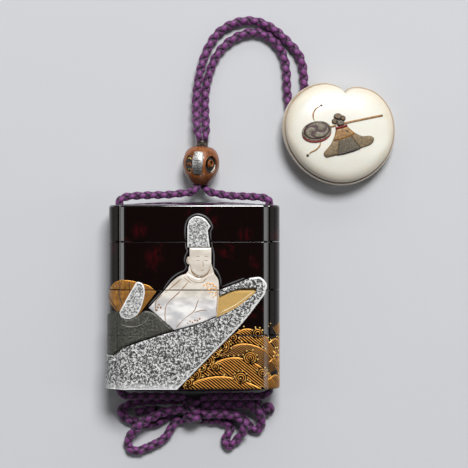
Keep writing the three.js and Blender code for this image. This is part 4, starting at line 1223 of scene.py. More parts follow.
def dome_dot(x, y, radius, rise, base, place):
    """A low round drop."""
    points = []
    for share, up in ((1.0, -0.2), (0.8, 0.6), (0.4, 0.93)):
        points += [place(x + share * radius * math.cos(a), y + share * radius * math.sin(a), base + up * rise)
                   for a in (math.radians(45 * k) for k in range(8))]
    points.append(place(x, y, base + rise))
    faces = [tuple(reversed(range(8)))]
    for row in (0, 8):
        faces += [(row + k, row + (k + 1) % 8, row + 8 + (k + 1) % 8, row + 8 + k) for k in range(8)]
    faces += [(16 + k, 16 + (k + 1) % 8, 24) for k in range(8)]
    return points, faces


def runs(line, insides, outsides, step=0.3):
    """The stretches of a line that show, broken at the case's joints."""
    line = evenly(line, step)
    keep = shown(line, insides, outsides)
    for joint in JOINTS:
        keep &= np.abs(line[:, 1] - joint) > HALF_SEAM
    stretches, current = [], []
    for point, kept in zip(line, keep):
        if kept:
            current.append(tuple(point))
        elif current:
            stretches.append(current)
            current = []
    if current:
        stretches.append(current)
    return [stretch for stretch in stretches if len(stretch) > 3]


def draw(name, lines, width, rise, base, finish, slot="gilt", place=on_case):
    """Strokes along several lines as one piece."""
    if lines:
        strips = [stroke(line, width, rise, base, place) for line in lines]
        make_piece(name, *join(strips), finish, slot, sharp=60)


# ---- the sea ----------------------------------------------------------------------------------------
# Each wave: where its crest starts, peaks and ends, as (t, y), from the furthest to the nearest.
WAVES = (
    ((11.0, -20.0), (21.5, -12.9), (32.0, -18.5)),
    ((8.0, -25.0), (20.0, -18.9), (34.5, -25.5)),
    ((-1.5, -33.0), (16.5, -24.4), (33.5, -33.0)),
    ((-9.0, -38.4), (10.5, -32.0), (31.0, -39.0)),
)
SIDE_WAVES = (
    ((30.9, -12.6), (36.5, -10.6), (42.0, -13.5)),
    ((30.9, -19.2), (36.0, -17.0), (42.0, -20.5)),
    ((30.9, -26.8), (36.5, -24.6), (42.0, -28.0)),
    ((30.9, -33.8), (36.0, -31.6), (42.0, -35.0)),
)
CURLS = ((11.4, -19.8, 2.7), (5.6, -25.6, 2.5), (22.6, -24.4, 2.3), (0.6, -31.2, 2.2), (18.8, -32.4, 2.0),
         (25.6, -14.6, 1.7), (27.6, -30.4, 1.6), (36.6, -23.0, 1.6), (15.6, -16.2, 1.5), (8.7, -22.8, 1.6),
         (3.2, -28.4, 1.6), (-2.4, -34.2, 1.6), (-4.9, -36.5, 1.2), (8.6, -28.0, 1.4))
STROKE_GAP = 1.0  # between neighbouring lines of the sea, across them
STROKE_STEP = 0.3
LONGEST_STROKE = 20
NO_WAVE = -99  # a height far below the case, where no wave lies in front
SPRAY_TOP = -10.4  # no drop flies higher
SEA_LINE = 0.34  # width of the sea's fine lines
DEEP_LINE = 0.4
CREST_WIDTH = 0.6


def crest_line(wave):
    """A crest from its start over its peak to its end."""
    (x0, y0), (x1, y1), (x2, y2) = wave
    shares = np.linspace(0, 1, 30)
    rising = [(x0 + (x1 - x0) * s, y0 + (y1 - y0) * math.sin(math.pi / 2 * s)) for s in shares]
    falling = [(x1 + (x2 - x1) * s, y1 + (y2 - y1) * (1 - math.cos(math.pi / 2 * s))) for s in shares]
    return rising + falling[1:]


def wave_strokes(wave, below, slope, gap):
    """Lines that peel off a crest, evenly spaced, and run down to the right to the wave below."""
    crest = np.array(crest_line(wave))
    forward, climb = np.diff(crest, axis=0).T
    pace = np.concatenate([[0], np.cumsum(np.maximum(forward + climb / slope, 0))])
    spread = gap / math.sin(math.atan(slope))
    floor_x, floor_y = np.array(below).T if below else ((0, 1), (NO_WAVE, NO_WAVE))
    strokes = []
    for start in np.arange(0.4 * spread, pace[-1], spread):
        x = x0 = float(np.interp(start, pace, crest[:, 0]))
        y = float(np.interp(x, crest[:, 0], crest[:, 1]))
        lean = float(np.interp(x, crest[1:, 0], climb / forward))
        line = []
        while x < x0 + LONGEST_STROKE and y > BASE_BOTTOM:
            if y <= np.interp(x, floor_x, floor_y, left=NO_WAVE, right=NO_WAVE) + 0.5:
                break
            line.append((x, y))
            steep = smooth(x - x0, 0, 3.5)
            x += STROKE_STEP
            y += STROKE_STEP * (lean * (1 - steep) - slope * steep)
        if len(line) > 5:
            strokes.append(line)
    return strokes


def curl_lines(x, y, radius):
    """A curl of foam: arcs inside each other, open below."""
    return [arc(x, y, r, r * 0.92, -80, 260, 26) for r in np.arange(radius, 0.4, -0.85)]


def foam(x, y, radius):
    """Drops thrown up round a curl."""
    places = []
    for turn in range(-10, 190, 40):
        reach = radius + 0.75 + random.uniform(-0.15, 0.35)
        way = math.radians(turn + random.uniform(-7, 7))
        places.append((x + reach * math.cos(way), y + reach * math.sin(way)))
    return places


def waves_and_spray():
    """The sea's bright lines, its shaded ones, its crests and the drops over them."""
    bright, deep, crests, drops = [], [], [], []
    for waves, slope in ((WAVES, 0.80), (SIDE_WAVES, 0.95)):
        for i, wave in enumerate(waves):
            below = crest_line(waves[i + 1]) if i + 1 < len(waves) else None
            crests.append(crest_line(wave))
            if waves is WAVES and i == 1:  # this one lies in shade, its lines closer and flatter
                deep += wave_strokes(wave, below, slope * 0.75, STROKE_GAP * 0.8)
            else:
                bright += wave_strokes(wave, below, slope, STROKE_GAP)
            drops += [(x + random.uniform(-0.4, 0.4), y + random.uniform(0.7, 1.3))
                      for x, y in evenly(crest_line(wave), 2.2) if random.random() < 0.55]
    return bright, deep, crests, drops


def sprinkle(drops, boat):
    """Gold drops over the sea, clear of the boat and of the case's joints."""
    drops = np.array(drops)
    drops = drops[~within(drops, boat) & (drops[:, 1] < SPRAY_TOP) & (drops[:, 1] > BASE_BOTTOM + 1)
                  & (drops[:, 0] < SIDE_END - 0.6)]
    dots = [dome_dot(x, y, random.uniform(0.3, 0.42), 0.28, 0, on_case) for x, y in drops
            if min(abs(y - joint) for joint in JOINTS) > 0.6]
    make_piece("sea_drops", *join(dots), GOLD_DOT, "gilt", sharp=60)


def paint_sea():
    sea = [unrolled(SEA, 0.1)]
    boat = unrolled(HULL, 0.1)
    discs = [arc(x, y, r + 0.45, 0.92 * r + 0.4, 0, 345, 23) for x, y, r in CURLS]
    bright, deep, crests, drops = waves_and_spray()
    curls = [line for curl in CURLS for line in curl_lines(*curl)]
    for curl in CURLS:
        drops += foam(*curl)
    for name, lines, over, width, finish in (
            ("sea_lines", bright, [boat, *discs], SEA_LINE, GOLD_LINE),
            ("sea_depths", deep, [boat, *discs], DEEP_LINE, GOLD_SHADE),
            ("sea_crests", crests, [boat, *discs], CREST_WIDTH, GOLD_LINE),
            ("sea_curls", curls, [boat], SEA_LINE, GOLD_LINE)):
        draw(name, [run for line in lines for run in runs(line, sea, over)], width, 0.13, 0, finish)
    sprinkle(drops, boat)


# ---- lines on the figures ---------------------------------------------------------------------------
ROBE_FOLDS = (
    [(-4.8, 7.4), (-10.4, 2.6), (-15.0, -1.6), (-15.2, -5.8)],
    [(-1.9, 6.3), (-5.6, 2.2), (-11.0, -3.6), (-11.4, -10.2)],
    [(3.0, 2.4), (1.4, -2.4), (0.1, -5.6), (-3.6, -8.6), (-7.2, -12.4)],
    [(0.3, -6.2), (3.2, -5.3), (6.4, -5.5)],
    [(-2.6, 8.7), (-1.8, 7.4), (0.4, 6.0), (3.4, 5.9), (5.2, 7.6)],
    [(-4.0, 8.0), (-2.4, 6.6), (-0.6, 5.3)],
    [(9.5, 2.2), (9.3, -2.6), (8.8, -7.0)],
)
HALO = drawn([(-18.3, -3.7), (-12.9, 2.2), (-9.0, 7.3), (-6.2, 9.4), (-3.6, 10.7), (-2.9, 12.2)],
             [(-2.9, 12.2), (-3.7, 14.6), (-3.3, 16.7), (-2.5, 18.4), (-3.2, 19.8)],
             [(-3.2, 19.8), (-3.35, 28.4), (-2.0, 31.5), (1.0, 33.1), (4.5, 32.2), (6.6, 30.1), (7.6, 28.0)],
             [(7.6, 28.0), (6.7, 26.0), (7.2, 21.1), (8.0, 17.2), (8.0, 11.7)],
             [(8.0, 11.7), (9.3, 10.3), (10.6, 7.4), (10.9, 4.4)])
PROW_HALO = drawn([(11.2, 4.1), (15.6, 5.7), (20.4, 7.6)])
HEM_DOTS = ((-2.4, -10.5), (-1.5, -9.7), (-0.5, -10.1), (0.5, -9.3), (1.5, -9.4), (2.4, -8.7), (-13.9, -3.0),
            (-14.4, -4.1), (-13.2, -4.2), (-14.8, -5.2))
FAN_TICKS = ([(-18.6, 1.4), (-17.9, 0.4)], [(-19.5, 0.9), (-18.8, -0.1)], [(-28.2, 4.6), (-28.1, 3.2)],
             [(-27.4, 4.6), (-27.3, 3.2)], [(-33.4, -0.4), (-32.7, -1.3)], [(-30.8, 2.4), (-30.2, 1.5)])
WHOLE_FRONT = [(-42, -40), (42, -40), (42, 40), (-42, 40)]


def crest_ring(x, y, radius):
    """A round scroll crest: a scalloped ring with small hooks inside."""
    lines = []
    for i in range(11):
        turn = 360 * i / 11
        cx = x + radius * math.cos(math.radians(turn))
        cy = y + radius * math.sin(math.radians(turn))
        lines.append(arc(cx, cy, 0.7, 0.7, turn - 120, turn + 120, 10))
    for i in range(5):
        turn = 72 * i + 20
        cx = x + 0.5 * radius * math.cos(math.radians(turn))
        cy = y + 0.5 * radius * math.sin(math.radians(turn))
        lines.append(arc(cx, cy, 0.8, 0.7, turn, turn + 230, 10))
    return lines


def calm_face():
    """Closed eyes, brows, nose and mouth of nobody in particular."""
    lines = []
    for x in (1.7, 5.0):
        lines.append(arc(x, 14.9, 0.85, 0.35, 200, 340, 8))
        lines.append(arc(x, 15.9, 0.95, 0.4, 35, 145, 8))
    lines.append([(3.5, 14.4), (3.75, 13.4), (3.9, 12.5), (3.3, 12.3)])
    lines.append(arc(3.4, 11.0, 0.8, 0.3, 200, 340, 8))
    return lines


def mark_figures():
    """The lines and dots on the robes, the face, the ear and the neck."""
    robe = [unrolled(ROBE, ROBE_RISE)]
    over = [unrolled(o, ROBE_RISE) for o in (HEAD, HULL, GUNWALE)]
    folds = [run for fold in ROBE_FOLDS for run in runs(drawn(fold), robe, over)]
    draw("robe_folds", folds, 0.3, 0.05, ROBE_RISE + 0.02, BROWN_LINE)
    crest = [run for line in crest_ring(6.2, 2.4, 2.5) for run in runs(line, robe, over, 0.2)]
    draw("robe_crest", crest, 0.55, 0.12, ROBE_RISE, GOLD_LINE)
    dots = [dome_dot(x, y, 0.42, 0.12, ROBE_RISE, on_case) for x, y in HEM_DOTS]
    make_piece("robe_marks", *join(dots), GOLD_FAN, "gilt", sharp=60)
    draw("face_lines", calm_face(), 0.3, 0.05, HEAD_RISE - 0.01, BROWN_LINE)
    draw("ear_line", [arc(-2.0, 14.6, 0.55, 1.0, 60, 290, 10)], 0.24, 0.04, HEAD_RISE - 0.04, BROWN_LINE)
    draw("neck_line", [arc(2.65, 14.0, 4.3, 6.1, 205, 335, 14)], 0.3, 0.05, HEAD_RISE - 0.12, BROWN_LINE)
    shoulder = runs(arc(-24.8, -5.4, 7.4, 6.6, 235, 340, 20), [unrolled(ROWER_ROBE, 0.7)], [])
    draw("rower_collar_line", shoulder, 0.36, 0.12, ROWER_ROBE_RISE + 0.02, WORN_LEAD, "lead")


def mark_fan():
    """The fan's ribs, small cuts and bright edge."""
    fan = [unrolled(FAN, 0.1)]
    over = [unrolled(o, 0.1) for o in (ROWER_CAP, ROWER_ROBE)]
    ribs = []
    for turn in (56, 74, 92, 109, 126, 143, 160):
        way = (math.cos(math.radians(turn)), math.sin(math.radians(turn)))
        ribs.append([(unroll(-25.2 + way[0] * r, 0.1), -13 + way[1] * r) for r in np.linspace(2, 21, 24)])
    ribs = [run for rib in ribs for run in runs(rib, fan, over)]
    draw("fan_ribs", ribs, 0.6, 0.1, 0.06, DARK_LINE)
    ticks = [run for tick in FAN_TICKS for run in runs(tick, fan, over, 0.2)]
    draw("fan_ticks", ticks, 0.3, 0.05, 0.07, DARK_LINE)
    edge = drawn(FAN_ARC, [(-28.8, 6.7), (-31.8, 5.6), (-34.0, 3.2)])
    edge = [(unroll(x, 0.1), y) for x, y in edge]
    draw("fan_edge", runs(edge, [WHOLE_FRONT], over), 0.4, 0.1, 0, GOLD_LINE)


def raise_lip():
    """The lacquer swells in a low lip round the seated figure and the prow."""
    prow = [(unroll(x, 0), y) for x, y in PROW_HALO]
    lips = runs(HALO, [WHOLE_FRONT], []) + runs(prow, [WHOLE_FRONT], [])
    points, faces = join([stroke(line, 0.8, 0.14, 0, on_case, SOFT_ACROSS) for line in lips])
    across = np.array([up for _, up in SOFT_ACROSS], dtype=np.float32)
    # the crown mark places the lip's painted grey highlight
    make_piece("lacquer_lip", points, faces, LIP, "lacquer",
               marks={"crown": np.clip(np.tile(across, len(points) // len(across)), 0, 1)})


def gild_rail():
    """The pale gold rail along the boat's inside."""
    rail = drawn([(10.4, -6.4), (17.2, -2.9), (23.7, 2.0)])
    draw("boat_rail", runs(rail, [WHOLE_FRONT], []), 0.5, 0.1, 0.06, GILT_RAIL)


paint_sea()
mark_figures()
mark_fan()
raise_lip()
gild_rail()


# ---- ojime bead -------------------------------------------------------------------------------------
BEAD_PROFILE = [(3.1, -BEAD_END), (4.3, -6.6), (5.5, -5.0), (6.6, -2.9), (7.25, -0.8), (BEAD_RADIUS, 1.4),
                (6.9, 4.2), (5.7, 6.3), (4.3, 7.4), (3.0, BEAD_END)]
BEAD_SIDES = 120
COLLAR_SIDES = 48
HOLLOWS = (  # degrees round the bead from its front to the right, half-width, half-height and depth
    (-46, 2.3, 3.6, 1.0),
    (37, 3.1, 3.8, 1.2),
)
HOLLOW_Y = 0.4
bead_outline = smoothed(BEAD_PROFILE, 6)
OUTLINE_Y = [y for _, y in bead_outline]
OUTLINE_R = [r for r, _ in bead_outline]


def hollow_share(turn, y):
    """How far inside an oval hollow a place lies, from 0 outside to 1 at its middle, and how deep that is."""
    found = (0.0, 0.0)
    for at, half_width, half_height, depth in HOLLOWS:
        across = math.radians((turn - at + 180) % 360 - 180) * BEAD_RADIUS / half_width
        along = (y - HOLLOW_Y) / half_height
        inside = 1 - across * across - along * along
        if inside > 0:
            found = max(found, (math.sqrt(inside), depth))
    return found


def leaned(x, y, z):
    """A place given from the bead's middle, in the part's frame."""
    return (BEAD.x + x * math.cos(BEAD_LEAN) - y * math.sin(BEAD_LEAN),
            BEAD.y + x * math.sin(BEAD_LEAN) + y * math.cos(BEAD_LEAN), BEAD.z + z)


def on_bead(turn, y, rise):
    """A place on the bead: degrees round it from its front, height along it, rise over its surface."""
    radius = float(np.interp(y, OUTLINE_Y, OUTLINE_R)) + rise
    way = math.radians(turn)
    return leaned(radius * math.sin(way), y, max(radius * math.cos(way), 0.02 - BEAD.z))


def bead_stroke(line, width, rise, base):
    """A stroke on the bead's own surface, from places in degrees and millimetres."""
    scale = math.degrees(1 / BEAD_RADIUS)
    flat = [(turn / scale, y) for turn, y in line]
    return stroke(flat, width, rise, base, lambda x, y, up: on_bead(x * scale, y, up))


def turn_bead():
    """The bead, turned on its bore, a little uneven, with two oval hollows carved in it."""
    points, marks, faces = [], [], []
    rows = [*bead_outline, (BEAD_BORE + 0.25, BEAD_END + 0.02), (BEAD_BORE, BEAD_END - 0.2),
            (BEAD_BORE, -BEAD_END + 0.2), (BEAD_BORE + 0.25, -BEAD_END)]
    for row, (radius, y) in enumerate(rows):
        for k in range(BEAD_SIDES):
            turn = 360 * k / BEAD_SIDES
            share, depth = hollow_share(turn, y) if row < len(bead_outline) else (0, 0)
            swell = 0.12 * noise.noise((turn / 25, y / 2.2, 0)) if 2 < row < len(bead_outline) - 3 else 0
            reach = radius - depth * min(share * 1.3, 1) + swell * (1 - share)
            way = math.radians(turn)
            points.append(leaned(reach * math.sin(way), y, max(reach * math.cos(way), -BEAD.z)))
            # how far inside a hollow; the mark drives the wood's painted shade
            marks.append(share)
    for row in range(len(rows)):
        for k in range(BEAD_SIDES):
            after = (k + 1) % BEAD_SIDES
            low, high = row * BEAD_SIDES, (row + 1) % len(rows) * BEAD_SIDES
            faces.append((low + k, low + after, high + after, high + k))
    bead = make_piece("ojime_bead_carved", points, faces, WOOD, "bead_wood",
                      marks={"hollow": np.array(marks, dtype=np.float32)})
    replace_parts(bead, "ojime_bead")


def cap_bead():
    """The metal collar over the bead's top: a turned ring with a groove."""
    foot = BEAD_END + 0.05
    profile = [(BEAD_BORE, 0.0), (2.4, 0.0), (2.5, 0.15), (2.5, 0.4), (2.3, 0.6), (2.35, 1.15), (2.3, 1.7),
               (2.5, 1.9), (2.5, 2.1), (2.38, COLLAR_HEIGHT), (BEAD_BORE, COLLAR_HEIGHT)]
    points, faces = [], []
    for radius, y in profile:
        points += [leaned(radius * math.sin(way), foot + y, radius * math.cos(way))
                   for way in (2 * math.pi * k / COLLAR_SIDES for k in range(COLLAR_SIDES))]
    for row in range(len(profile)):
        low, high = row * COLLAR_SIDES, (row + 1) % len(profile) * COLLAR_SIDES
        for k in range(COLLAR_SIDES):
            after = (k + 1) % COLLAR_SIDES
            faces.append((low + k, low + after, high + after, high + k))
    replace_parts(make_piece("ojime_collar_turned", points, faces, COLLAR, "gilt", sharp=40), "ojime_collar")


def on_plate(x, y, rise):
    """A place on the bead's front by its distance to the right of the bead's middle."""
    radius = float(np.interp(y, OUTLINE_Y, OUTLINE_R)) + rise
    aside = x * radius / BEAD_RADIUS
    return leaned(aside, y, math.sqrt(radius ** 2 - aside ** 2))


PLATE_RISE = 0.42
# Swirls engraved on the plate: place, half-width, half-height, and where each starts and ends in degrees.
PLATE_SWIRLS = (
    (-2.2, 4.3, 0.8, 0.6, 20, 300), (-0.4, 3.6, 0.7, 0.8, -80, 200), (-1.9, 2.2, 0.9, 0.5, 160, 420),
    (-0.5, 1.2, 0.7, 0.7, 40, 320), (-2.1, 0.2, 0.8, 0.7, -120, 150), (-0.6, -0.9, 0.8, 0.5, 100, 380),
    (-2.0, -1.9, 0.9, 0.6, 10, 280), (-0.6, -2.7, 0.6, 0.5, -60, 200),
)


def set_plate():
    """The silver plate let into the bead's front, with its engraving."""
    outline = drawn([(-3.2, -3.7), (-3.35, 1.0), (-3.1, 5.3)], [(-3.1, 5.3), (-1.2, 5.55), (0.7, 5.3)],
                    [(0.7, 5.3), (0.85, 1.0), (0.6, -3.7)], [(0.6, -3.7), (-1.3, -4.0), (-3.2, -3.7)])[:-1]
    flat, triangles = fill([outline], [], -5, 7, 0.35)
    points, faces = raised(flat, triangles, PLATE_RISE, 0.2, on_plate)
    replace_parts(make_piece("ojime_plate_metal", points, faces, PLATE, "pewter", sharp=50), "ojime_plate")
    swirls = [arc(*swirl, 12) for swirl in PLATE_SWIRLS]
    draw("ojime_plate_swirls", swirls, 0.3, 0.1, PLATE_RISE, DARK_LINE, "pewter", on_plate)


def fill_right_hollow():
    """A carved coil inside a raised rim, with a sliver of shell."""
    right, reach, height, _ = HOLLOWS[1]
    reach = math.degrees(reach / BEAD_RADIUS)
    coil = []
    for share in np.linspace(0, 1, 60):
        turn = 2 * math.pi * 1.6 * share + 0.6
        open_out = 0.2 + 0.8 * share
        coil.append((right + reach * 0.5 * open_out * math.cos(turn),
                     HOLLOW_Y + 0.3 + 2.0 * open_out * math.sin(turn)))
    make_piece("ojime_coil", *bead_stroke(coil, 0.75, 1.05, -1.1), WOOD, "bead_wood")
    rim_line = [(right + reach * math.cos(a), HOLLOW_Y + height * math.sin(a))
                for a in np.linspace(0, 2 * math.pi, 60)]
    make_piece("ojime_right_rim", *bead_stroke(rim_line, 0.5, 0.2, -0.05), WOOD, "bead_wood")
    sliver = [(right + reach * 0.8 * math.cos(a), HOLLOW_Y + height * 0.8 * math.sin(a))
              for a in np.radians(np.linspace(-75, 5, 24))]
    make_piece("ojime_right_sliver", *bead_stroke(sliver, 0.55, 0.4, -0.6), PEARL, "shell")


def fill_left_hollow():
    """A carved ripple under an arch and two grains of gold."""
    left = HOLLOWS[0][0]
    moon = [(left + 12 * math.cos(a), HOLLOW_Y + 0.7 + 1.7 * math.sin(a))
            for a in np.radians(np.linspace(35, 145, 20))]
    gold_bits = [bead_stroke(moon, 0.8, 0.5, -0.75)]
    for turn in (left - 5, left + 6):
        gold_bits.append(bead_stroke([(turn - 3, -1.8), (turn, -1.9), (turn + 3, -1.8)], 0.9, 0.5, -0.7))
    make_piece("ojime_left_gold", *join(gold_bits), GOLD_DOT, "gilt")
    ripple = [(left + 13 * s, HOLLOW_Y - 0.2 + 0.7 * math.sin(7 * s)) for s in np.linspace(-1, 1, 30)]
    make_piece("ojime_left_relief", *bead_stroke(ripple, 0.9, 0.5, -0.95), WOOD, "bead_wood")


turn_bead()
cap_bead()
set_plate()
fill_right_hollow()
fill_left_hollow()

# ---- netsuke ----------------------------------------------------------------------------------------
PEACH = [(2.0, 17.0), (0.2, 19.1), (-7.2, 20.8), (-15.6, 17.6), (-21.6, 10.6), (-23.4, 2.2), (-21.3, -6.8),
         (-14.3, -15.8), (-4.9, -20.7), (4.7, -21.0), (14.0, -16.7), (20.8, -8.7), (23.1, 0.9), (21.4, 9.8),
         (15.6, 16.9), (8.4, 19.3), (4.0, 18.7), (2.0, 17.0)]
PEACH_STEPS = 160
CROWN_RADII = (22.4, 19.2)
BACK_PROFILE = [(0.42, 0), (0.72, 0.6), (0.91, 1.8), (0.985, 3.2), (1.0, 4.6), (0.978, NETSUKE_SEAM - 0.1)]
SIDE_TOP = 7.6  # where the front's upright side turns over into its crown
IVORY_CREASE = 48  # in degrees. A sharper edge than this stays crisp
FRONT_PROFILE = [(0.957, NETSUKE_SEAM + 0.1), (0.957, SIDE_TOP), (0.93, 9.2), (0.845, 10.9), (0.66, 12.0),
                 (0.36, 12.5), (0.0, NETSUKE_TOP)]
peach_edge = evenly(smoothed(PEACH, 12), 0.2)
peach_edge = peach_edge[np.linspace(0, len(peach_edge) - 1, PEACH_STEPS + 1).astype(int)][:-1]
TILT_AXIS = Vector((math.sin(NETSUKE_TILT_AZIMUTH), -math.cos(NETSUKE_TILT_AZIMUTH), 0))


def netsuke_to_frame(x, y, z):
    """A place given on the netsuke as if it lay level, in the part's frame."""
    level = Vector((x, y, z))
    lifted = (level * math.cos(NETSUKE_TILT) + TILT_AXIS.cross(level) * math.sin(NETSUKE_TILT)
              + TILT_AXIS * TILT_AXIS.dot(level) * (1 - math.cos(NETSUKE_TILT)))
    return tuple(lifted + NETSUKE)


def reach_of(share, edge):
    """The outline's point at a share of the way out: an oval near the crown, peach-shaped at the edge."""
    turn = math.atan2(edge[1], edge[0])
    oval = Vector((CROWN_RADII[0] * math.cos(turn), CROWN_RADII[1] * math.sin(turn)))
    return oval.lerp(Vector(tuple(edge)), smooth(share, 0.72, 1.0)) * share


def fine_profile(profile):
    """Finer rings of (share of the outline, height) between the given ones."""
    spread = [(share * 20, z, 0) for share, z in profile]
    return [(p.x / 20, p.y) for p in curve(spread, 5)]


back_rings = fine_profile(BACK_PROFILE)
front_rings = fine_profile(FRONT_PROFILE)
crown_shares = [share for share, z in reversed(front_rings) if z > SIDE_TOP]
crown_heights = [z for share, z in reversed(front_rings) if z > SIDE_TOP]


def crown(x, y, rise):
    """A place on the netsuke's front, in its own frame, raised over the ivory."""
    turn = math.atan2(y, x)
    nearest = peach_edge[np.argmin(np.abs((np.arctan2(peach_edge[:, 1], peach_edge[:, 0]) - turn + np.pi)
                                          % (2 * np.pi) - np.pi))]
    share = math.hypot(x / CROWN_RADII[0], y / CROWN_RADII[1])
    for _ in range(3):
        share *= math.hypot(x, y) / max(reach_of(share, nearest).length, 1e-6)
    return x, y, float(np.interp(share, crown_shares, crown_heights)) + rise


def on_toys(x, y, rise):
    """A place among the toys, in the part's frame."""
    return netsuke_to_frame(*crown(x + TOYS_X, y + TOYS_Y, rise))


def netsuke_half(name, node, rings, tip):
    """One half of the netsuke, marked near its seam and by how far out each point lies."""
    loops = [[netsuke_to_frame(*reach_of(share, edge), z) for edge in peach_edge] for share, z in rings]
    grime = [max(0.0, 1 - abs(z - NETSUKE_SEAM) / 0.35) for _, z in rings for _ in peach_edge]
    points, faces = loft(loops, (None, netsuke_to_frame(*tip)) if tip else (None, None))
    outward = [share for share, _ in rings for _ in peach_edge]
    ends = [0.0] * (len(points) - len(grime))
    piece = make_piece(name, points, faces, IVORY, "ivory", sharp=IVORY_CREASE,
                       marks={"seam": np.array(grime + ends, dtype=np.float32),
                              "outward": np.array(outward + ends, dtype=np.float32)})
    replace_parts(piece, node)
    return piece


def cord_bore(route):
    """A round tool along a cord's last stretch."""
    a, b = Vector(route[-2]), Vector(route[-1])
    ahead = (b - a).normalized()
    side = ahead.orthogonal().normalized()
    up = ahead.cross(side)
    around = [2 * math.pi * k / 20 for k in range(20)]
    rings = [[middle + (side * math.cos(w) + up * math.sin(w)) * (CORD_RADIUS + 0.5) for w in around]
             for middle in (a - ahead, b + ahead)]
    return loft(rings)


def shape_netsuke():
    back = netsuke_half("netsuke_back_ivory", "netsuke_back", back_rings, None)
    cut(back, [cord_bore(ARCHES["cord_arch_outer"])])
    cut(back, [cord_bore(ARCHES["cord_arch_inner"])])
    back.data.shade_smooth()
    back.data.set_sharp_from_angle(angle=math.radians(IVORY_CREASE))
    netsuke_half("netsuke_front_ivory", "netsuke_front", front_rings[:-1], (0, 0, NETSUKE_TOP))


DRUM = (-9.2, 0.5)
DRUM_SIZE = (6.0, 3.9)
DRUM_TILT = 10  # degrees
SKIN_SHARE = 0.88  # of the drum's size


def on_drum(x, y):
    """A place given in the drum's own tilted frame."""
    tilt = math.radians(DRUM_TILT)
    return (DRUM[0] + x * math.cos(tilt) - y * math.sin(tilt),
            DRUM[1] + x * math.sin(tilt) + y * math.cos(tilt))


def drum_oval(share, dx=0.0, dy=0.0):
    """The drum's oval at a share of its size."""
    half_width, half_height = (size * share for size in DRUM_SIZE)
    return [on_drum(x + dx, y + dy) for x, y in arc(0, 0, half_width, half_height, 0, 352.5, 47)]


def toy(name, node, outlines, over, rise, finish, slot, cell=0.4, ease=0.22, form=None):
    """One inlay on the netsuke, standing for a node where one is given."""
    flat, triangles = fill(outlines, over, -30, 30, cell)
    points, faces = raised(flat, triangles, rise, ease, on_toys, form)
    piece = make_piece(name, points, faces, finish, slot, sharp=50)
    if node:
        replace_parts(piece, node)


def comma(turn):
    """One of the three commas on the drum: a round head with a curling tail."""
    outer = [(0.86, turn + 115), (0.88, turn + 75), (0.84, turn + 30), (0.66, turn - 8)]
    inner = [(0.34, turn - 24), (0.12, turn + 20), (0.42, turn + 52), (0.64, turn + 80)]
    places = [(r * math.cos(math.radians(a)), r * math.sin(math.radians(a))) for r, a in (*outer, *inner)]
    line = smoothed([*places, places[0]], 5)[:-1]
    return [on_drum(x * DRUM_SIZE[0] * 0.92, y * DRUM_SIZE[1] * 0.92) for x, y in line]


def slab(a, b, width):
    """A straight bar from one place to another."""
    length = math.dist(a, b)
    x, y = (b[0] - a[0]) / length * width / 2, (b[1] - a[1]) / length * width / 2
    return [(a[0] + y, a[1] - x), (b[0] + y, b[1] - x), (b[0] - y, b[1] + x), (a[0] - y, a[1] + x)]


TIE = slab((-1.5, 1.5), (3.2, 2.8), 0.9)
KNOT_LOBES = [arc(*lobe, 0, 345, 23) for lobe in (
    (0.4, 3.7, 1.6, 1.3), (-1.9, 4.4, 1.2, 1.1), (-0.6, 6.4, 1.7, 1.3), (1.5, 5.7, 1.1, 1.1))]
POUCH_OUTLINE = drawn(((-1.4, 1.2),),
                      [(-1.4, 1.2), (-2.0, -1.6), (-3.6, -5.0), (-6.4, -8.8), (-5.4, -10.2), (-3.4, -9.9),
                       (-0.6, -9.2)],
                      ((-0.6, -9.2), (8.4, -6.6)),
                      [(8.4, -6.6), (13.4, -4.4), (14.2, -2.4), (12.6, -1.4), (9.4, -1.5), (6.2, -0.1),
                       (3.2, 2.4)])
POUCH_TOP = [(-6, 5), (-6, -3.7), (-1.9, -3.6), (0.1, -3.3), (4.9, -1.6), (6.2, -0.4), (8, 5)]
POUCH_FRONT = [(0.1, -3.3), (4.9, -1.6), (8.6, -6.7), (-0.8, -9.5)]
POUCH_FEET = [(-12, -12), (20, -12), (20, 4), (6.2, -0.4), (4.9, -1.6), (0.1, -3.3), (-1.9, -3.6),
              (-12, -4.5)]
POUCH_MARK = [(2.1, 0.9), (3.0, 0.0), (3.9, -0.3), (3.1, 0.8)]


def pouch_pleats(x, y):
    """Pleats that fan out from the pouch's neck and deepen towards its hem."""
    return 0.10 * math.sin(9.6 * math.atan2(y - 4, x - 1)) * smooth(-y, -4, 8)


def lay_drum():
    """The drum: a metal ring round a dark skin with three commas, its red side, its strings and beads."""
    toy("drum_face", "netsuke_drum", [drum_oval(1)], [drum_oval(SKIN_SHARE)], 0.8, TOY_METAL, "toy_metal")
    toy("drum_skin", None, [drum_oval(SKIN_SHARE)], [], 0.6, MAROON, "red_lacquer")
    toy("drum_side", "netsuke_drum_rim", [drum_oval(1, -0.15, -0.85)], [drum_oval(1)], 0.5, RED_LACQUER,
        "red_lacquer", 0.3, 0.15)
    for number in range(3):
        toy(f"drum_comma_{number}", None, [comma(120 * number + 20)], [], 0.84, TOY_METAL, "toy_metal",
            0.3, 0.12)
    strings = [drawn([(-10.1, 4.6), (-10.6, 6.0), (-10.3, 8.2), (-9.2, 9.7), (-7.5, 10.8)]),
               drawn([(-7.6, -3.6), (-8.0, -5.6), (-9.5, -7.2), (-11.5, -8.2), (-12.5, -9.2)])]
    draw("drum_strings", strings, 0.62, 0.35, 0.03, HORN, "horn", on_toys)
    beads = [dome_dot(x, y, 0.6, 0.5, 0, on_toys) for x, y in ((-7.2, 11.0), (-12.8, -9.4))]
    make_piece("drum_string_beads", *join(beads), KNOT_METAL, "horn", sharp=60)


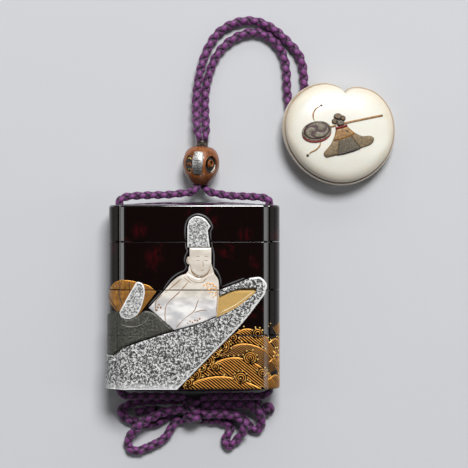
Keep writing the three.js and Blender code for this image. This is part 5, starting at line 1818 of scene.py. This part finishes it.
def lay_stick():
    """The drum's stick, which passes behind the knot, and its metal tip."""
    toy("drum_stick", "netsuke_stick", [slab((1.8, 3.6), (17.7, 7.1), 0.8)], KNOT_LOBES, 0.45, HORN, "horn",
        0.25, 0.2)
    toy("drum_stick_end", None, [slab((-3.6, 2.1), (-1.2, 2.7), 0.7)], [TIE], 0.4, HORN, "horn", 0.25, 0.2)
    toy("drum_stick_tip", None, [slab((17.4, 7.05), (18.0, 7.2), 0.8)], [], 0.48, KNOT_METAL, "horn",
        0.25, 0.2)


def tie_pouch():
    """The red band round the pouch's neck and the four-lobed metal knot above it."""
    toy("pouch_tie", "netsuke_pouch_band", [TIE], [], 0.9, RED_LACQUER, "red_lacquer", 0.3, 0.2)
    for number, lobe in enumerate(KNOT_LOBES):
        toy(f"pouch_knot_{number}", "netsuke_pouch_knot", [lobe], [TIE, *KNOT_LOBES[:number]], 1.0,
            KNOT_METAL, "toy_metal", 0.3, 0.5)
    rings = [arc(-0.6, 6.4, 0.95, 0.65, 0, 330, 14), arc(1.5, 5.7, 0.6, 0.6, 0, 330, 12),
             arc(-1.9, 4.4, 0.65, 0.6, 0, 330, 12)]
    draw("pouch_knot_rings", rings, 0.34, 0.2, 0.95, HORN, "toy_metal", on_toys)


def lay_pouch():
    """The pouch: a plain top, pleated feet and a shaded front, with its quilting, seam and hem."""
    toy("pouch_body", "netsuke_pouch", [POUCH_OUTLINE], [TIE, POUCH_FEET], 0.7, POUCH, "bead_wood", 0.4, 0.3)
    toy("pouch_feet", "netsuke_pouch", [POUCH_OUTLINE], [TIE, POUCH_TOP, POUCH_FRONT], 0.7, POUCH_FOOT,
        "bead_wood", 0.4, 0.3, pouch_pleats)
    toy("pouch_front", "netsuke_pouch", [POUCH_FRONT], [TIE], 0.74, POUCH_SHADE, "bead_wood", 0.4, 0.2,
        pouch_pleats)
    toy("pouch_mark", None, [POUCH_MARK], [], 0.78, DARK_LINE, "bead_wood", 0.3, 0.08)
    quilting = []
    for k in (0.6, 1.4, 2.2, 3.0):
        quilting.append(drawn([(0.6 + 1.5 * k, -3.2 + 0.35 * k), (0.2 + 1.9 * k, -6.0 + 0.4 * k),
                               (-0.3 + 2.2 * k, -9.0 + 0.7 * k)]))
    draw("pouch_quilting", quilting, 0.3, 0.16, 0.68, POUCH_FOOT, "bead_wood", on_toys)
    seam = drawn([(-1.9, -3.6), (0.1, -3.3), (4.9, -1.6), (6.6, -0.5)])
    draw("pouch_seam", [seam], 0.26, 0.12, 0.68, HORN, "bead_wood", on_toys)
    hem = drawn([(-0.9, -9.2), (1.8, -8.5), (5.2, -7.5), (8.4, -6.5)])
    draw("pouch_hem", [hem], 0.9, 0.22, 0.6, DARK_LINE, "toy_metal", on_toys)


shape_netsuke()
lay_drum()
lay_stick()
tie_pouch()
lay_pouch()


# ---- floor and light --------------------------------------------------------------------------------
def lay_floor():
    """A wide sheet of pale grey paper, a hair under the object."""
    finish = Finish("floor_paper", roughness=0.85)
    finish.set("Base Color", finish.mix((0.555, 0.562, 0.585), (0.57, 0.577, 0.60), finish.cloud(60)))
    half, under = 1500, -0.05
    sheet = [(-half, -half, under), (half, -half, under), (half, half, under), (-half, half, under)]
    make_piece("floor", sheet, [(0, 1, 2, 3)], finish.material, None)


def hang_light(name, place, aim, size, watts):
    data = bpy.data.lights.new(name, "AREA")
    data.shape = "RECTANGLE"
    data.size, data.size_y = (s * MM for s in size)
    data.energy = watts
    lamp = bpy.data.objects.new(name, data)
    lamp.location = Vector(place) * MM
    lamp.rotation_euler = (Vector(aim) - Vector(place)).to_track_quat("-Z", "Y").to_euler()
    scene.collection.objects.link(lamp)


def light_the_room():
    world = bpy.data.worlds.new("room")
    world.use_nodes = True
    sky = world.node_tree.nodes["Background"].inputs
    sky["Color"].default_value = (0.55, 0.57, 0.62, 1)
    sky["Strength"].default_value = 0.05
    scene.world = world
    middle = (10, 15, 0)
    hang_light("window_light", (460, 1700, 2600), middle, (1250, 850), 105)
    hang_light("wide_card", (60, 1150, 640), middle, (1900, 420), 4)
    hang_light("left_card", (-700, 0, 420), middle, (220, 900), 0.9)
    hang_light("right_card", (720, 0, 420), middle, (220, 900), 0.9)


lay_floor()
light_the_room()
